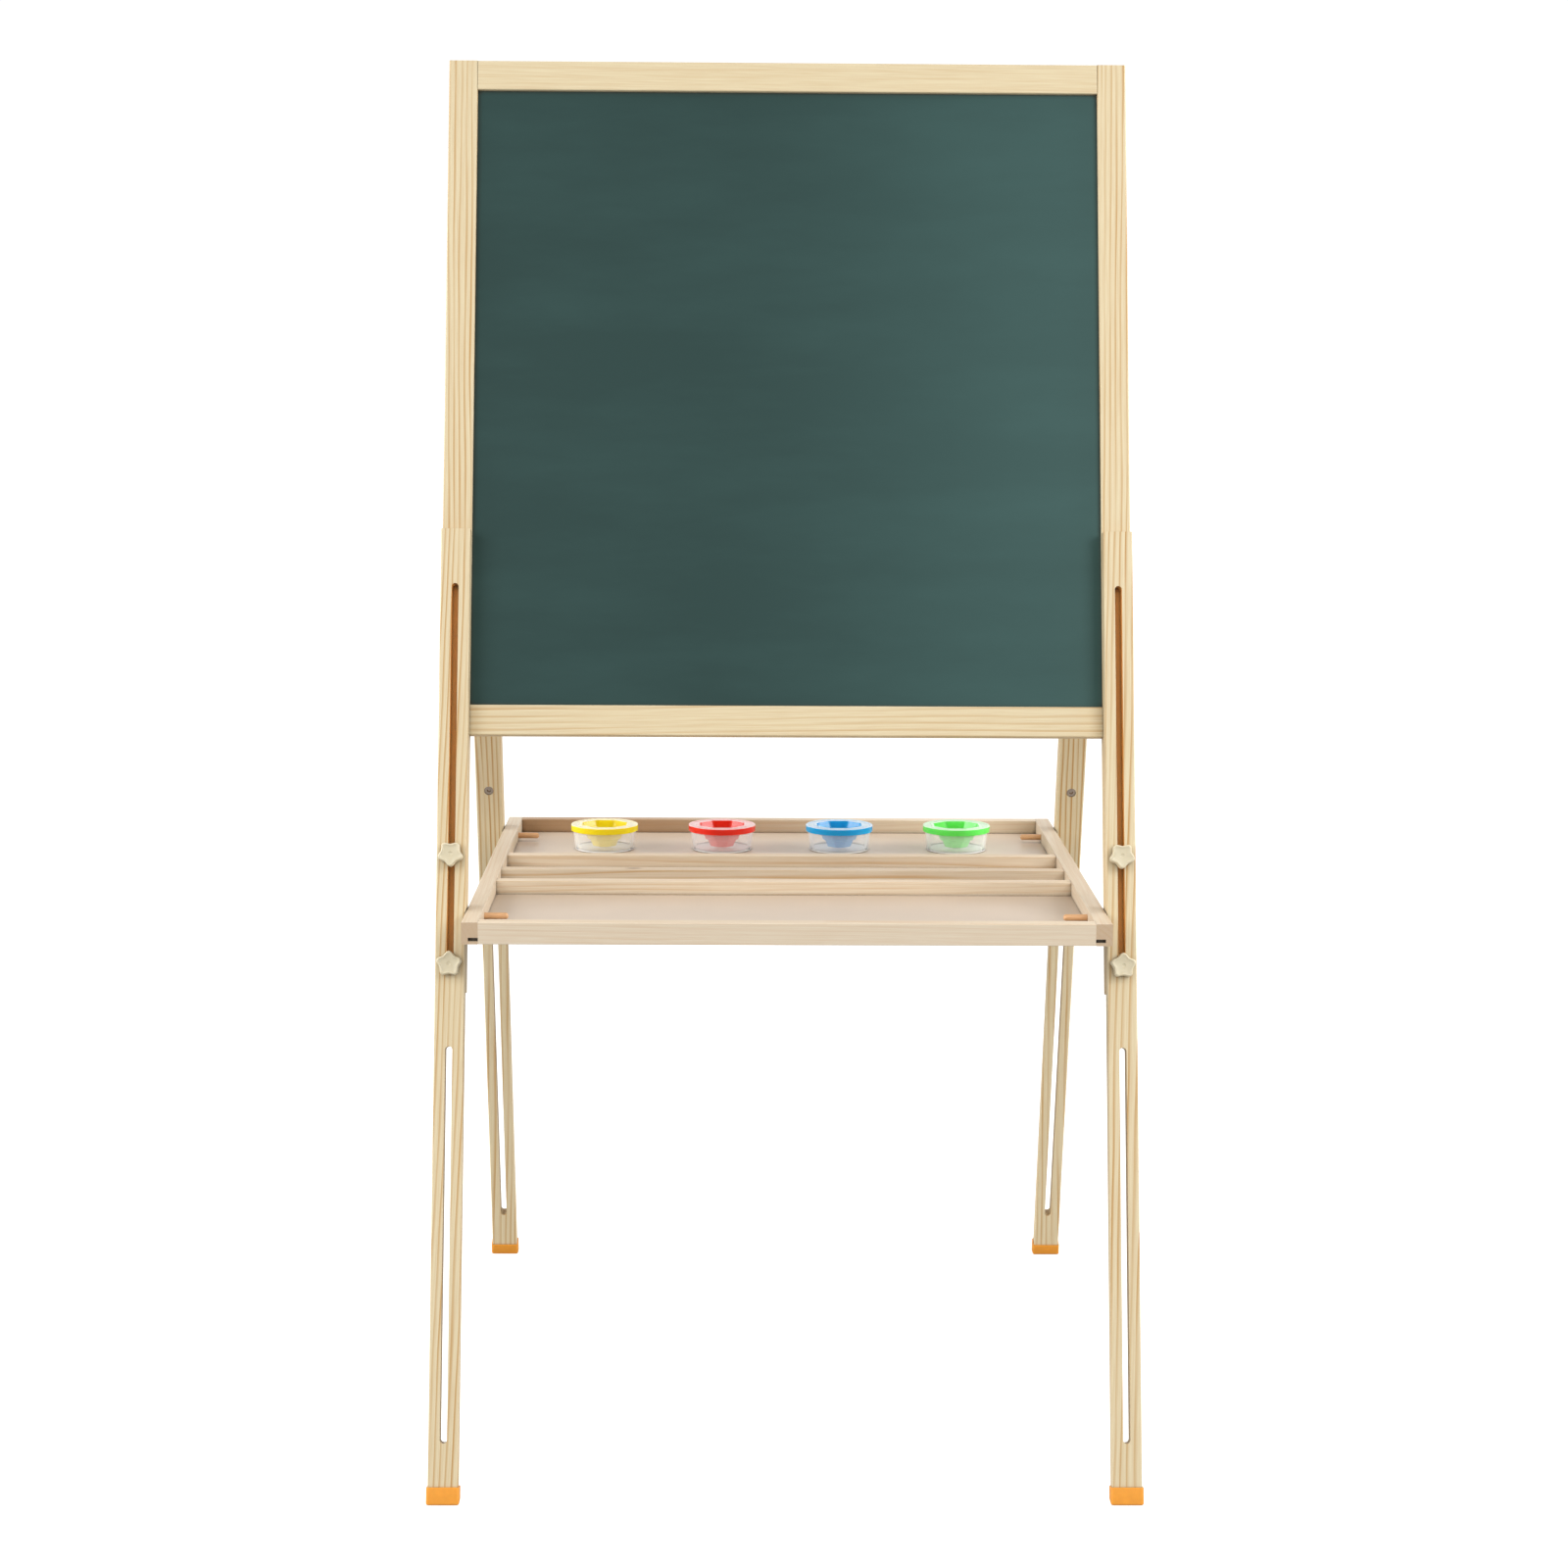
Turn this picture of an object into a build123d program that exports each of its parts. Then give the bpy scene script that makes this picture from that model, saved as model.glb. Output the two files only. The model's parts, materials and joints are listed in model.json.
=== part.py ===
"""A double-sided children's easel: two hinged frames on slotted legs, with a peg-held tray and paint pots.

Millimetres, +Z up, origin on the floor at the middle of the footprint, the chalkboard facing -Y.
Each frame is drawn on its own leaning plane, whose origin lies on the hinge axis: local x runs across the
frame, local y up the stiles and local z outwards, away from the other frame.
"""

import os
from math import cos, pi, radians, sin

from build123d import *

# Frames
LEAN = 15.0
FRAME_WIDTH = 639.0
FRAME_HEIGHT = 641.0
STILE_WIDTH = 27.0
STILE_DEPTH = 14.0
STILE_LENGTH = 878.0
RAIL_WIDTH = 28.0
BOARD_THICKNESS = 4.0
BOARD_GROOVE_DEPTH = 8.0
BOARD_EDGE_GAP = 0.5
BOARD_FACE_GAP = 0.1
EDGE_ROUND = 1.2
DOWEL_RADIUS = 4.0
DOWEL_LENGTH = 36.0
DOWEL_FIT = 0.05
DOWEL_END_GAP = 0.5

# Hinges
HINGE_DROP = 8.0
KNUCKLE_RADIUS = 3.1
KNUCKLE_FACE_GAP = 0.3
LEAF_THICKNESS = 1.3
LEAF_LENGTH = 18.0
HINGE_WIDTH = 40.0
HINGE_SPACING = 400.0
KNUCKLE_COUNT = 3
KNUCKLE_END_GAP = 0.4
HINGE_PIN_RADIUS = 1.5
HINGE_PIN_FIT = 0.05
SCREW_SPACING = 22.0
SCREW_RADIUS = 1.6
SCREW_HEAD_RADIUS = 3.0
SCREW_LENGTH = 11.0

# Legs and their clamps
LEG_DEPTH = 14.0
LEG_TOP_DROP = 451.0
LEG_LENGTH = 880.0
SLIDE_GAP = 0.2
SLOT_WIDTH = 6.5
SLOT_TOP_MARGIN = 51.0
SLOT_FOOT_MARGIN = 50.0
SLOT_BRIDGE = 71.0
UPPER_BOLT_DROP = 753.0
BOLT_SPACING = 100.0
BOLT_RADIUS = 3.0
BOLT_HOLE_FIT = 0.1
BOLT_HEAD_RADIUS = 4.6
BOLT_HEAD_HEIGHT = 4.0
BOLT_HEAD_FIT = 0.3
BOLT_HEAD_RECESS = 1.0
BOLT_SOCKET_WIDTH = 4.0
BOLT_SOCKET_DEPTH = 2.2
BOLT_TIP_GAP = 1.0

# Star knobs
KNOB_LOBES = 5
KNOB_POINT_UP = {"upper": -1, "lower": 1}
KNOB_POINT_RADIUS = 13.6
KNOB_VALLEY_RADIUS = 9.8
KNOB_POINT_ROUND = 3.6
KNOB_VALLEY_ROUND = 8.0
KNOB_HEIGHT = 10.0
KNOB_HUB_RADIUS = 6.5
KNOB_HUB_HEIGHT = 2.5
KNOB_EDGE = 1.6
KNOB_DIMPLE_RADIUS = 2.0
KNOB_DIMPLE_DEPTH = 0.8
KNOB_BORE_FIT = 0.06
KNOB_BORE_DEPTH = 9.0
KNOB_LEG_GAP = 0.25

# Foot caps
CAP_HEIGHT = 14.2
CAP_WALL = 1.3
CAP_SOLE = 2.5
CAP_CORNER = 2.4
CAP_SOLE_ROUND = 1.8
CAP_FIT = 0.05

# Tray
TRAY_DEPTH = 576.0
TRAY_SIDE_GAP = 0.5
TRAY_RAIL_WIDTH = 15.0
TRAY_RAIL_HEIGHT = 20.0
TRAY_EDGE_ROUND = 0.8
TRAY_FLOOR_DROP = 14.0
TRAY_FLOOR_THICKNESS = 3.0
TRAY_GROOVE_DEPTH = 9.0
TRAY_GROOVE_FIT = 0.1
TRAY_FLOOR_EDGE_GAP = 0.5
DIVIDER_WIDTH = 15.0
DIVIDER_HEIGHT = 13.0
BACK_DIVIDER_Y = 67.0
MIDDLE_DIVIDER_Y = -12.0
FRONT_DIVIDER_Y = -74.0
TRAY_DOWEL_RADIUS = 2.5
TRAY_DOWEL_LENGTH = 24.0

# Tray pegs
PEG_RADIUS = 3.0
PEG_FIT = 0.08
PEG_NOSE_ROUND = 2.4
PEG_TIP_ROUND = 0.9
PEG_DROP = 8.0
PEG_BELOW_UPPER_BOLT = 54.5
PEG_REACH_IN = 22.0
PEG_STILE_DEPTH = 12.0
PEG_HOLE_END_GAP = 1.0
REAR_PEG_SHY = 0.2

# Paint pots
POT_COLOURS = ("yellow", "red", "blue", "green")
POT_SIDE_MARGIN = 93.25
CUP_BASE_RADIUS = 30.6
CUP_RIM_RADIUS = 33.4
CUP_HEIGHT = 24.9
CUP_WALL = 1.3
CUP_FLOOR = 1.6
CUP_FOOT_ROUND = 1.0
LID_WALL = 1.3
LID_FIT = 0.15
LID_SKIRT = 5.0
LID_RIM_WIDTH = 2.2
LID_LIP_WIDTH = 1.8
LID_DISH_DEPTH = 0.6
LID_FUNNEL_SIDES = 8
LID_FUNNEL_TIERS = ((26.5, 21.8), (20.8, 17.4), (16.4, 12.6))
LID_FUNNEL_LEDGE_DROP = 0.9
LID_FUNNEL_FLOOR_GAP = 2.0

# Derived places
FRAME_BACK = KNUCKLE_RADIUS + KNUCKLE_FACE_GAP
FRAME_FACE = FRAME_BACK + STILE_DEPTH
LEG_BACK = FRAME_FACE + SLIDE_GAP
LEG_FACE = LEG_BACK + LEG_DEPTH
STILE_X = (FRAME_WIDTH - STILE_WIDTH) / 2
OPENING_WIDTH = FRAME_WIDTH - 2 * STILE_WIDTH
OPENING_HEIGHT = FRAME_HEIGHT - 2 * RAIL_WIDTH
BOARD_GROOVE_WIDTH = BOARD_THICKNESS + 2 * BOARD_FACE_GAP
GROOVE_BACK = FRAME_BACK + (STILE_DEPTH - BOARD_GROOVE_WIDTH) / 2
LEG_END_Y = HINGE_DROP - LEG_TOP_DROP - LEG_LENGTH
LEG_MIDDLE = LEG_BACK + LEG_DEPTH / 2
AXIS_HEIGHT = CAP_SOLE - LEG_END_Y * cos(radians(LEAN)) - LEG_MIDDLE * sin(radians(LEAN))
STILE_MIDDLE = FRAME_BACK + STILE_DEPTH / 2
PEG_LOCAL_Y = HINGE_DROP - UPPER_BOLT_DROP - PEG_BELOW_UPPER_BOLT
PEG_Y = STILE_MIDDLE * cos(radians(LEAN)) - PEG_LOCAL_Y * sin(radians(LEAN))
PEG_Z = AXIS_HEIGHT + PEG_LOCAL_Y * cos(radians(LEAN)) + STILE_MIDDLE * sin(radians(LEAN))
TRAY_TOP = PEG_Z + PEG_DROP
TRAY_BOTTOM = TRAY_TOP - TRAY_RAIL_HEIGHT
TRAY_FLOOR_TOP = TRAY_TOP - TRAY_FLOOR_DROP
TRAY_WIDTH = OPENING_WIDTH - 2 * TRAY_SIDE_GAP
TRAY_INNER_WIDTH = TRAY_WIDTH - 2 * TRAY_RAIL_WIDTH
TRAY_INNER_DEPTH = TRAY_DEPTH - 2 * TRAY_RAIL_WIDTH
TRAY_GROOVE_HEIGHT = TRAY_FLOOR_THICKNESS + 2 * TRAY_GROOVE_FIT
CUP_Y = (TRAY_INNER_DEPTH / 2 + BACK_DIVIDER_Y + DIVIDER_WIDTH / 2) / 2
FIRST_CUP_X = POT_SIDE_MARGIN - TRAY_INNER_WIDTH / 2
CUP_SPACING = -2 * FIRST_CUP_X / (len(POT_COLOURS) - 1)

FRONT = Plane(
    origin=(0, 0, AXIS_HEIGHT), x_dir=(1, 0, 0), z_dir=(0, -cos(radians(LEAN)), sin(radians(LEAN)))
)
REAR = Plane(
    origin=(0, 0, AXIS_HEIGHT), x_dir=(-1, 0, 0), z_dir=(0, cos(radians(LEAN)), sin(radians(LEAN)))
)
FRAMES = {"front": FRONT, "rear": REAR}
SIDES = {"left": -1, "right": 1}


def save(piece, name):
    """Label a finished piece and write it to its own file."""
    piece.label = name
    export_step(piece, f"parts/{name}.step")


def local_x(frame, side):
    """The local x sign, on a frame's plane, of the left or right side as seen from the front."""
    return SIDES[side] * round(frame.x_dir.X)


def along(frame):
    """The direction up the stiles of a frame."""
    return Axis(frame.origin, frame.y_dir)


def bolt_points(sides):
    """Local places of the clamp bolts on the stiles of the given local sides."""
    upper = HINGE_DROP - UPPER_BOLT_DROP
    return [(side * STILE_X, upper - row * BOLT_SPACING) for side in sides for row in range(2)]


# Frame members


def make_stile(frame, side, peg_depth):
    """One upright: grooved for the board, bored for the rails' dowels, the clamp bolts and the tray's peg."""
    sign = local_x(frame, side)
    inner = sign * OPENING_WIDTH / 2
    board_height = OPENING_HEIGHT + 2 * BOARD_GROOVE_DEPTH
    with BuildPart() as stile:
        with BuildSketch(frame.offset(FRAME_BACK)):
            with Locations((sign * STILE_X, HINGE_DROP - STILE_LENGTH / 2)):
                Rectangle(STILE_WIDTH, STILE_LENGTH)
        extrude(amount=STILE_DEPTH)
        fillet(stile.edges().filter_by(along(frame)), EDGE_ROUND)
        with BuildSketch(frame.offset(GROOVE_BACK)):
            with Locations((inner, HINGE_DROP - FRAME_HEIGHT / 2)):
                Rectangle(2 * BOARD_GROOVE_DEPTH, board_height)
        extrude(amount=BOARD_GROOVE_WIDTH, mode=Mode.SUBTRACT)
        with BuildSketch(frame.offset(FRAME_BACK)):
            with Locations(bolt_points([sign])):
                Circle(BOLT_RADIUS + BOLT_HOLE_FIT)
        extrude(amount=STILE_DEPTH, mode=Mode.SUBTRACT)
        with BuildSketch(frame.offset(FRAME_BACK)):
            with Locations(bolt_points([sign])):
                Circle(BOLT_HEAD_RADIUS + BOLT_HEAD_FIT)
        extrude(amount=BOLT_HEAD_RECESS + BOLT_HEAD_HEIGHT, mode=Mode.SUBTRACT)
        with BuildSketch(dowel_plane(frame, sign)):
            with Locations(dowel_points()):
                Circle(DOWEL_RADIUS + DOWEL_FIT)
        extrude(amount=DOWEL_LENGTH / 2 + DOWEL_END_GAP, mode=Mode.SUBTRACT)
        with BuildSketch(peg_plane(side, OPENING_WIDTH / 2)):
            with Locations(peg_point(frame)):
                Circle(PEG_RADIUS + PEG_FIT)
        extrude(amount=peg_depth, mode=Mode.SUBTRACT)
    return stile.part


def dowel_plane(frame, sign):
    """A plane on a stile's inner face, facing into the stile, with its x up the stile."""
    origin = frame.from_local_coords((sign * OPENING_WIDTH / 2, HINGE_DROP, STILE_MIDDLE))
    return Plane(origin=origin, x_dir=frame.y_dir, z_dir=frame.x_dir * sign)


def dowel_points():
    """Places of the top and bottom dowels, measured up the stile from the frame's top edge."""
    inset = (RAIL_WIDTH - BOARD_GROOVE_DEPTH) / 2
    return [(-inset, 0), (inset - FRAME_HEIGHT, 0)]


def peg_plane(side, distance):
    """A plane across the easel at a distance from its middle, facing outwards on the given side."""
    sign = SIDES[side]
    return Plane(origin=(sign * distance, 0, PEG_Z), x_dir=(0, 1, 0), z_dir=(sign, 0, 0))


def peg_point(frame):
    """The peg's place on a peg plane: ahead of the middle on the front frame, behind it on the rear."""
    return (-PEG_Y if frame is FRONT else PEG_Y, 0)


def make_rail(frame, centre_drop, groove_side):
    """A top or bottom rail between the stiles, grooved on the edge that faces the board."""
    middle = HINGE_DROP - centre_drop
    with BuildPart() as rail:
        with BuildSketch(frame.offset(FRAME_BACK)):
            with Locations((0, middle)):
                Rectangle(OPENING_WIDTH, RAIL_WIDTH)
        extrude(amount=STILE_DEPTH)
        fillet(rail.edges().filter_by(Axis.X), EDGE_ROUND)
        with BuildSketch(frame.offset(GROOVE_BACK)):
            with Locations((0, middle + groove_side * RAIL_WIDTH / 2)):
                Rectangle(OPENING_WIDTH, 2 * BOARD_GROOVE_DEPTH)
        extrude(amount=BOARD_GROOVE_WIDTH, mode=Mode.SUBTRACT)
        for sign in (-1, 1):
            with BuildSketch(dowel_plane(frame, sign)):
                with Locations(dowel_points()):
                    Circle(DOWEL_RADIUS + DOWEL_FIT)
            extrude(amount=-(DOWEL_LENGTH / 2 + DOWEL_END_GAP), mode=Mode.SUBTRACT)
    return rail.part


def make_board(frame):
    """The square board, held on all four edges by the frame's grooves."""
    overlap = BOARD_GROOVE_DEPTH - BOARD_EDGE_GAP
    with BuildPart() as board:
        with BuildSketch(frame.offset(GROOVE_BACK + BOARD_FACE_GAP)):
            with Locations((0, HINGE_DROP - FRAME_HEIGHT / 2)):
                Rectangle(OPENING_WIDTH + 2 * overlap, OPENING_HEIGHT + 2 * overlap)
        extrude(amount=BOARD_THICKNESS)
    return board.part


def make_frame_dowels(frame):
    """The four dowels that pin the rails to the stiles."""
    with BuildPart() as dowels:
        for sign in (-1, 1):
            with BuildSketch(dowel_plane(frame, sign)):
                with Locations(dowel_points()):
                    Circle(DOWEL_RADIUS)
            extrude(amount=DOWEL_LENGTH / 2, both=True)
    return dowels.part


def make_bolts(frame):
    """The four clamp bolts, with socket heads sunk in the stiles and shanks that end inside the knobs."""
    head_back = FRAME_BACK + BOLT_HEAD_RECESS
    tip = LEG_FACE + KNOB_LEG_GAP + KNOB_BORE_DEPTH - BOLT_TIP_GAP
    points = bolt_points((-1, 1))
    with BuildPart() as bolts:
        with BuildSketch(frame.offset(head_back)):
            with Locations(points):
                Circle(BOLT_HEAD_RADIUS)
        extrude(amount=BOLT_HEAD_HEIGHT)
        with BuildSketch(frame.offset(head_back)):
            with Locations(points):
                Circle(BOLT_RADIUS)
        extrude(amount=tip - head_back)
        with BuildSketch(frame.offset(head_back)):
            with Locations(points):
                RegularPolygon(BOLT_SOCKET_WIDTH / 2, 6, major_radius=False)
        extrude(amount=BOLT_SOCKET_DEPTH, mode=Mode.SUBTRACT)
    return bolts.part


# Hinges


def knuckle_spans(first):
    """Start and end, across one hinge, of every other knuckle."""
    pitch = HINGE_WIDTH / KNUCKLE_COUNT
    for place in range(first, KNUCKLE_COUNT, 2):
        start = -HINGE_WIDTH / 2 + place * pitch
        yield start + KNUCKLE_END_GAP / 2, start + pitch - KNUCKLE_END_GAP / 2


def screw_points(centre):
    """Local places of one leaf's screws, midway down the leaf."""
    drop = -LEAF_LENGTH / 2 - KNUCKLE_RADIUS / 2
    return [(centre + side * SCREW_SPACING / 2, drop) for side in (-1, 1)]


def hinge_centres():
    """Local x of the middle of each hinge."""
    return [-HINGE_SPACING / 2, HINGE_SPACING / 2]


def make_hinge_leaves(frame, first):
    """A frame's two hinge leaves, each rolled into knuckles round the axis."""
    leaf_face = FRAME_BACK - LEAF_THICKNESS
    with BuildPart() as leaves:
        for centre in hinge_centres():
            with BuildSketch(frame.offset(leaf_face)):
                with Locations((centre, -KNUCKLE_RADIUS - LEAF_LENGTH / 2)):
                    Rectangle(HINGE_WIDTH, LEAF_LENGTH)
                for start, end in knuckle_spans(first):
                    with Locations((centre + (start + end) / 2, -KNUCKLE_RADIUS / 2)):
                        Rectangle(end - start, KNUCKLE_RADIUS)
            extrude(amount=LEAF_THICKNESS)
            for start, end in knuckle_spans(first):
                across = Plane(
                    origin=frame.from_local_coords((centre + start, 0, 0)),
                    x_dir=frame.y_dir,
                    z_dir=frame.x_dir,
                )
                with BuildSketch(across):
                    Circle(KNUCKLE_RADIUS)
                extrude(amount=end - start)
                with BuildSketch(across):
                    Circle(HINGE_PIN_RADIUS + HINGE_PIN_FIT)
                extrude(amount=end - start, mode=Mode.SUBTRACT)
            with BuildSketch(frame.offset(leaf_face)):
                with Locations(screw_points(centre)):
                    Circle(SCREW_HEAD_RADIUS)
            extrude(amount=LEAF_THICKNESS, mode=Mode.SUBTRACT)
    return leaves.part


def make_hinge_pins():
    """The two hinge pins, on the axis at the top of the easel."""
    with BuildPart() as pins:
        for centre in hinge_centres():
            with BuildSketch(Plane.YZ.offset(centre - HINGE_WIDTH / 2)):
                with Locations((0, AXIS_HEIGHT)):
                    Circle(HINGE_PIN_RADIUS)
            extrude(amount=HINGE_WIDTH)
    return pins.part


def make_hinge_screws(frame):
    """Countersunk screws that hold a frame's leaves on its top rail."""
    leaf_face = FRAME_BACK - LEAF_THICKNESS
    points = [point for centre in hinge_centres() for point in screw_points(centre)]
    with BuildPart() as screws:
        with BuildSketch(frame.offset(leaf_face)):
            with Locations(points):
                Circle(SCREW_HEAD_RADIUS)
        extrude(amount=LEAF_THICKNESS)
        with BuildSketch(frame.offset(leaf_face)):
            with Locations(points):
                Circle(SCREW_RADIUS)
        extrude(amount=SCREW_LENGTH)
    return screws.part


def bore_for_screws(rail, frame):
    """A top rail with the pilot holes of its hinge screws."""
    with BuildPart() as bored:
        add(rail)
        with BuildSketch(frame.offset(FRAME_BACK)):
            for centre in hinge_centres():
                with Locations(screw_points(centre)):
                    Circle(SCREW_RADIUS)
        extrude(amount=SCREW_LENGTH - LEAF_THICKNESS, mode=Mode.SUBTRACT)
    return bored.part


# Legs, caps and knobs


def slot_spans():
    """Local top and bottom of a leg's slots: the upper ends at the lower bolt, the other near the foot."""
    upper_top = HINGE_DROP - LEG_TOP_DROP - SLOT_TOP_MARGIN
    upper_end = HINGE_DROP - UPPER_BOLT_DROP - BOLT_SPACING - SLOT_WIDTH / 2
    return [(upper_top, upper_end), (upper_end - SLOT_BRIDGE, LEG_END_Y + SLOT_FOOT_MARGIN)]


def make_leg(frame, side):
    """A slotted leg on the outer face of a stile, its foot cut level with the floor."""
    x = local_x(frame, side) * STILE_X
    top = HINGE_DROP - LEG_TOP_DROP
    spare = LEG_DEPTH
    with BuildPart() as leg:
        with BuildSketch(frame.offset(LEG_BACK)):
            with Locations((x, top - (LEG_LENGTH + spare) / 2)):
                Rectangle(STILE_WIDTH, LEG_LENGTH + spare)
        extrude(amount=LEG_DEPTH)
        fillet(leg.edges().filter_by(along(frame)), EDGE_ROUND)
        with BuildSketch(frame.offset(LEG_BACK)):
            for slot_top, slot_end in slot_spans():
                with Locations((x, (slot_top + slot_end) / 2)):
                    SlotOverall(slot_top - slot_end, SLOT_WIDTH, rotation=90)
        extrude(amount=LEG_DEPTH, mode=Mode.SUBTRACT)
        split(bisect_by=Plane.XY.offset(CAP_SOLE), keep=Keep.TOP)
    return leg.part


def make_foot_cap(frame, side):
    """A rubber cap pulled over the foot of a leg, flat on the floor with a rounded sole."""
    x = local_x(frame, side) * STILE_X
    reach = CAP_HEIGHT + LEG_DEPTH
    top = LEG_END_Y - CAP_SOLE / cos(radians(LEAN)) + CAP_HEIGHT
    mouth = Plane(
        origin=frame.from_local_coords((x, top, LEG_MIDDLE)), x_dir=frame.x_dir, z_dir=frame.y_dir
    )
    with BuildPart() as socket:
        with BuildSketch(mouth):
            Rectangle(STILE_WIDTH + 2 * CAP_FIT, LEG_DEPTH + 2 * CAP_FIT)
        extrude(amount=-reach)
        split(bisect_by=Plane.XY.offset(CAP_SOLE), keep=Keep.TOP)
    with BuildPart() as cap:
        with BuildSketch(mouth):
            RectangleRounded(STILE_WIDTH + 2 * CAP_WALL, LEG_DEPTH + 2 * CAP_WALL, CAP_CORNER)
        extrude(amount=-reach)
        split(bisect_by=Plane.XY, keep=Keep.TOP)
        fillet(cap.edges().group_by(Axis.Z)[0], CAP_SOLE_ROUND)
        add(socket.part, mode=Mode.SUBTRACT)
    return cap.part


def star_points():
    """The star's sharp corners, a point and a valley in turn, with one point along x."""
    turn = 2 * pi / KNOB_LOBES
    corners = []
    for lobe in range(KNOB_LOBES):
        for radius, angle in ((KNOB_POINT_RADIUS, lobe * turn), (KNOB_VALLEY_RADIUS, (lobe + 0.5) * turn)):
            corners.append((radius * cos(angle), radius * sin(angle)))
    return corners


def make_knob(frame, point, point_up):
    """A five-lobed star knob with a round hub, bored from below for its bolt. One point is up or down."""
    base = Plane(
        origin=frame.from_local_coords((*point, LEG_FACE + KNOB_LEG_GAP)),
        x_dir=frame.y_dir * point_up,
        z_dir=frame.z_dir,
    )
    with BuildPart() as knob:
        with BuildSketch(base.offset(KNOB_HUB_HEIGHT)) as star:
            with BuildLine():
                Polyline(*star_points(), close=True)
            make_face()
            fillet(star.vertices().sort_by_distance((0, 0, 0))[:KNOB_LOBES], KNOB_VALLEY_ROUND)
            fillet(star.vertices().sort_by_distance((0, 0, 0))[-KNOB_LOBES:], KNOB_POINT_ROUND)
        extrude(amount=KNOB_HEIGHT)
        chamfer(knob.faces().sort_by(Axis(base.origin, base.z_dir))[-1].edges(), KNOB_EDGE)
        with BuildSketch(base):
            Circle(KNOB_HUB_RADIUS)
        extrude(amount=KNOB_HUB_HEIGHT)
        with BuildSketch(base):
            Circle(BOLT_RADIUS + KNOB_BORE_FIT)
        extrude(amount=KNOB_BORE_DEPTH, mode=Mode.SUBTRACT)
        with BuildSketch(base.offset(KNOB_HUB_HEIGHT + KNOB_HEIGHT)):
            Circle(KNOB_DIMPLE_RADIUS)
        extrude(amount=-KNOB_DIMPLE_DEPTH, mode=Mode.SUBTRACT)
    return knob.part


# Tray


def make_tray_side_rail(side):
    """A side rail of the tray, its floor groove run out at both ends and bored for pegs and dowels."""
    sign = SIDES[side]
    middle = sign * (TRAY_WIDTH - TRAY_RAIL_WIDTH) / 2
    with BuildPart() as rail:
        with BuildSketch(Plane.XY.offset(TRAY_BOTTOM)):
            with Locations((middle, 0)):
                Rectangle(TRAY_RAIL_WIDTH, TRAY_DEPTH)
        extrude(amount=TRAY_RAIL_HEIGHT)
        fillet(rail.edges().filter_by(Axis.Y), TRAY_EDGE_ROUND)
        with BuildSketch(Plane.XY.offset(TRAY_FLOOR_TOP + TRAY_GROOVE_FIT)):
            with Locations((sign * TRAY_INNER_WIDTH / 2, 0)):
                Rectangle(2 * TRAY_GROOVE_DEPTH, TRAY_DEPTH)
        extrude(amount=-TRAY_GROOVE_HEIGHT, mode=Mode.SUBTRACT)
        with BuildSketch(peg_plane(side, TRAY_INNER_WIDTH / 2)):
            with Locations((-PEG_Y, 0), (PEG_Y, 0)):
                Circle(PEG_RADIUS + PEG_FIT)
        extrude(amount=TRAY_RAIL_WIDTH, mode=Mode.SUBTRACT)
        with BuildSketch(tray_dowel_plane(sign)):
            with Locations(tray_dowel_points()):
                Circle(TRAY_DOWEL_RADIUS + DOWEL_FIT)
        extrude(amount=TRAY_DOWEL_LENGTH / 2, mode=Mode.SUBTRACT)
    return rail.part


def tray_dowel_plane(sign):
    """A plane on a side rail's inner face, facing into the rail, midway between floor and top."""
    height = TRAY_TOP - TRAY_FLOOR_DROP / 2
    return Plane(origin=(sign * TRAY_INNER_WIDTH / 2, 0, height), x_dir=(0, 1, 0), z_dir=(sign, 0, 0))


def tray_dowel_points():
    """Places of the corner dowels: one in each end rail, above the floor groove."""
    end = (TRAY_DEPTH - TRAY_RAIL_WIDTH) / 2
    return [(end, 0), (-end, 0)]


def make_tray_end_rail(end):
    """The front (-1) or back (1) rail of the tray, between the side rails."""
    with BuildPart() as rail:
        with BuildSketch(Plane.XY.offset(TRAY_BOTTOM)):
            with Locations((0, end * (TRAY_DEPTH - TRAY_RAIL_WIDTH) / 2)):
                Rectangle(TRAY_INNER_WIDTH, TRAY_RAIL_WIDTH)
        extrude(amount=TRAY_RAIL_HEIGHT)
        fillet(rail.edges().filter_by(Axis.X), TRAY_EDGE_ROUND)
        with BuildSketch(Plane.XY.offset(TRAY_FLOOR_TOP + TRAY_GROOVE_FIT)):
            with Locations((0, end * TRAY_INNER_DEPTH / 2)):
                Rectangle(TRAY_INNER_WIDTH, 2 * TRAY_GROOVE_DEPTH)
        extrude(amount=-TRAY_GROOVE_HEIGHT, mode=Mode.SUBTRACT)
        for sign in (-1, 1):
            with BuildSketch(tray_dowel_plane(sign)):
                with Locations(tray_dowel_points()):
                    Circle(TRAY_DOWEL_RADIUS + DOWEL_FIT)
            extrude(amount=-TRAY_DOWEL_LENGTH / 2, mode=Mode.SUBTRACT)
    return rail.part


def make_tray_dowels():
    """The four corner dowels of the tray."""
    with BuildPart() as dowels:
        for sign in (-1, 1):
            with BuildSketch(tray_dowel_plane(sign)):
                with Locations(tray_dowel_points()):
                    Circle(TRAY_DOWEL_RADIUS)
            extrude(amount=TRAY_DOWEL_LENGTH / 2 - DOWEL_END_GAP, both=True)
    return dowels.part


def make_tray_floor():
    """The thin floor panel, held in the rails' grooves."""
    overlap = TRAY_GROOVE_DEPTH - TRAY_FLOOR_EDGE_GAP
    with BuildPart() as floor:
        with BuildSketch(Plane.XY.offset(TRAY_FLOOR_TOP)):
            Rectangle(TRAY_INNER_WIDTH + 2 * overlap, TRAY_INNER_DEPTH + 2 * overlap)
        extrude(amount=-TRAY_FLOOR_THICKNESS)
    return floor.part


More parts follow.
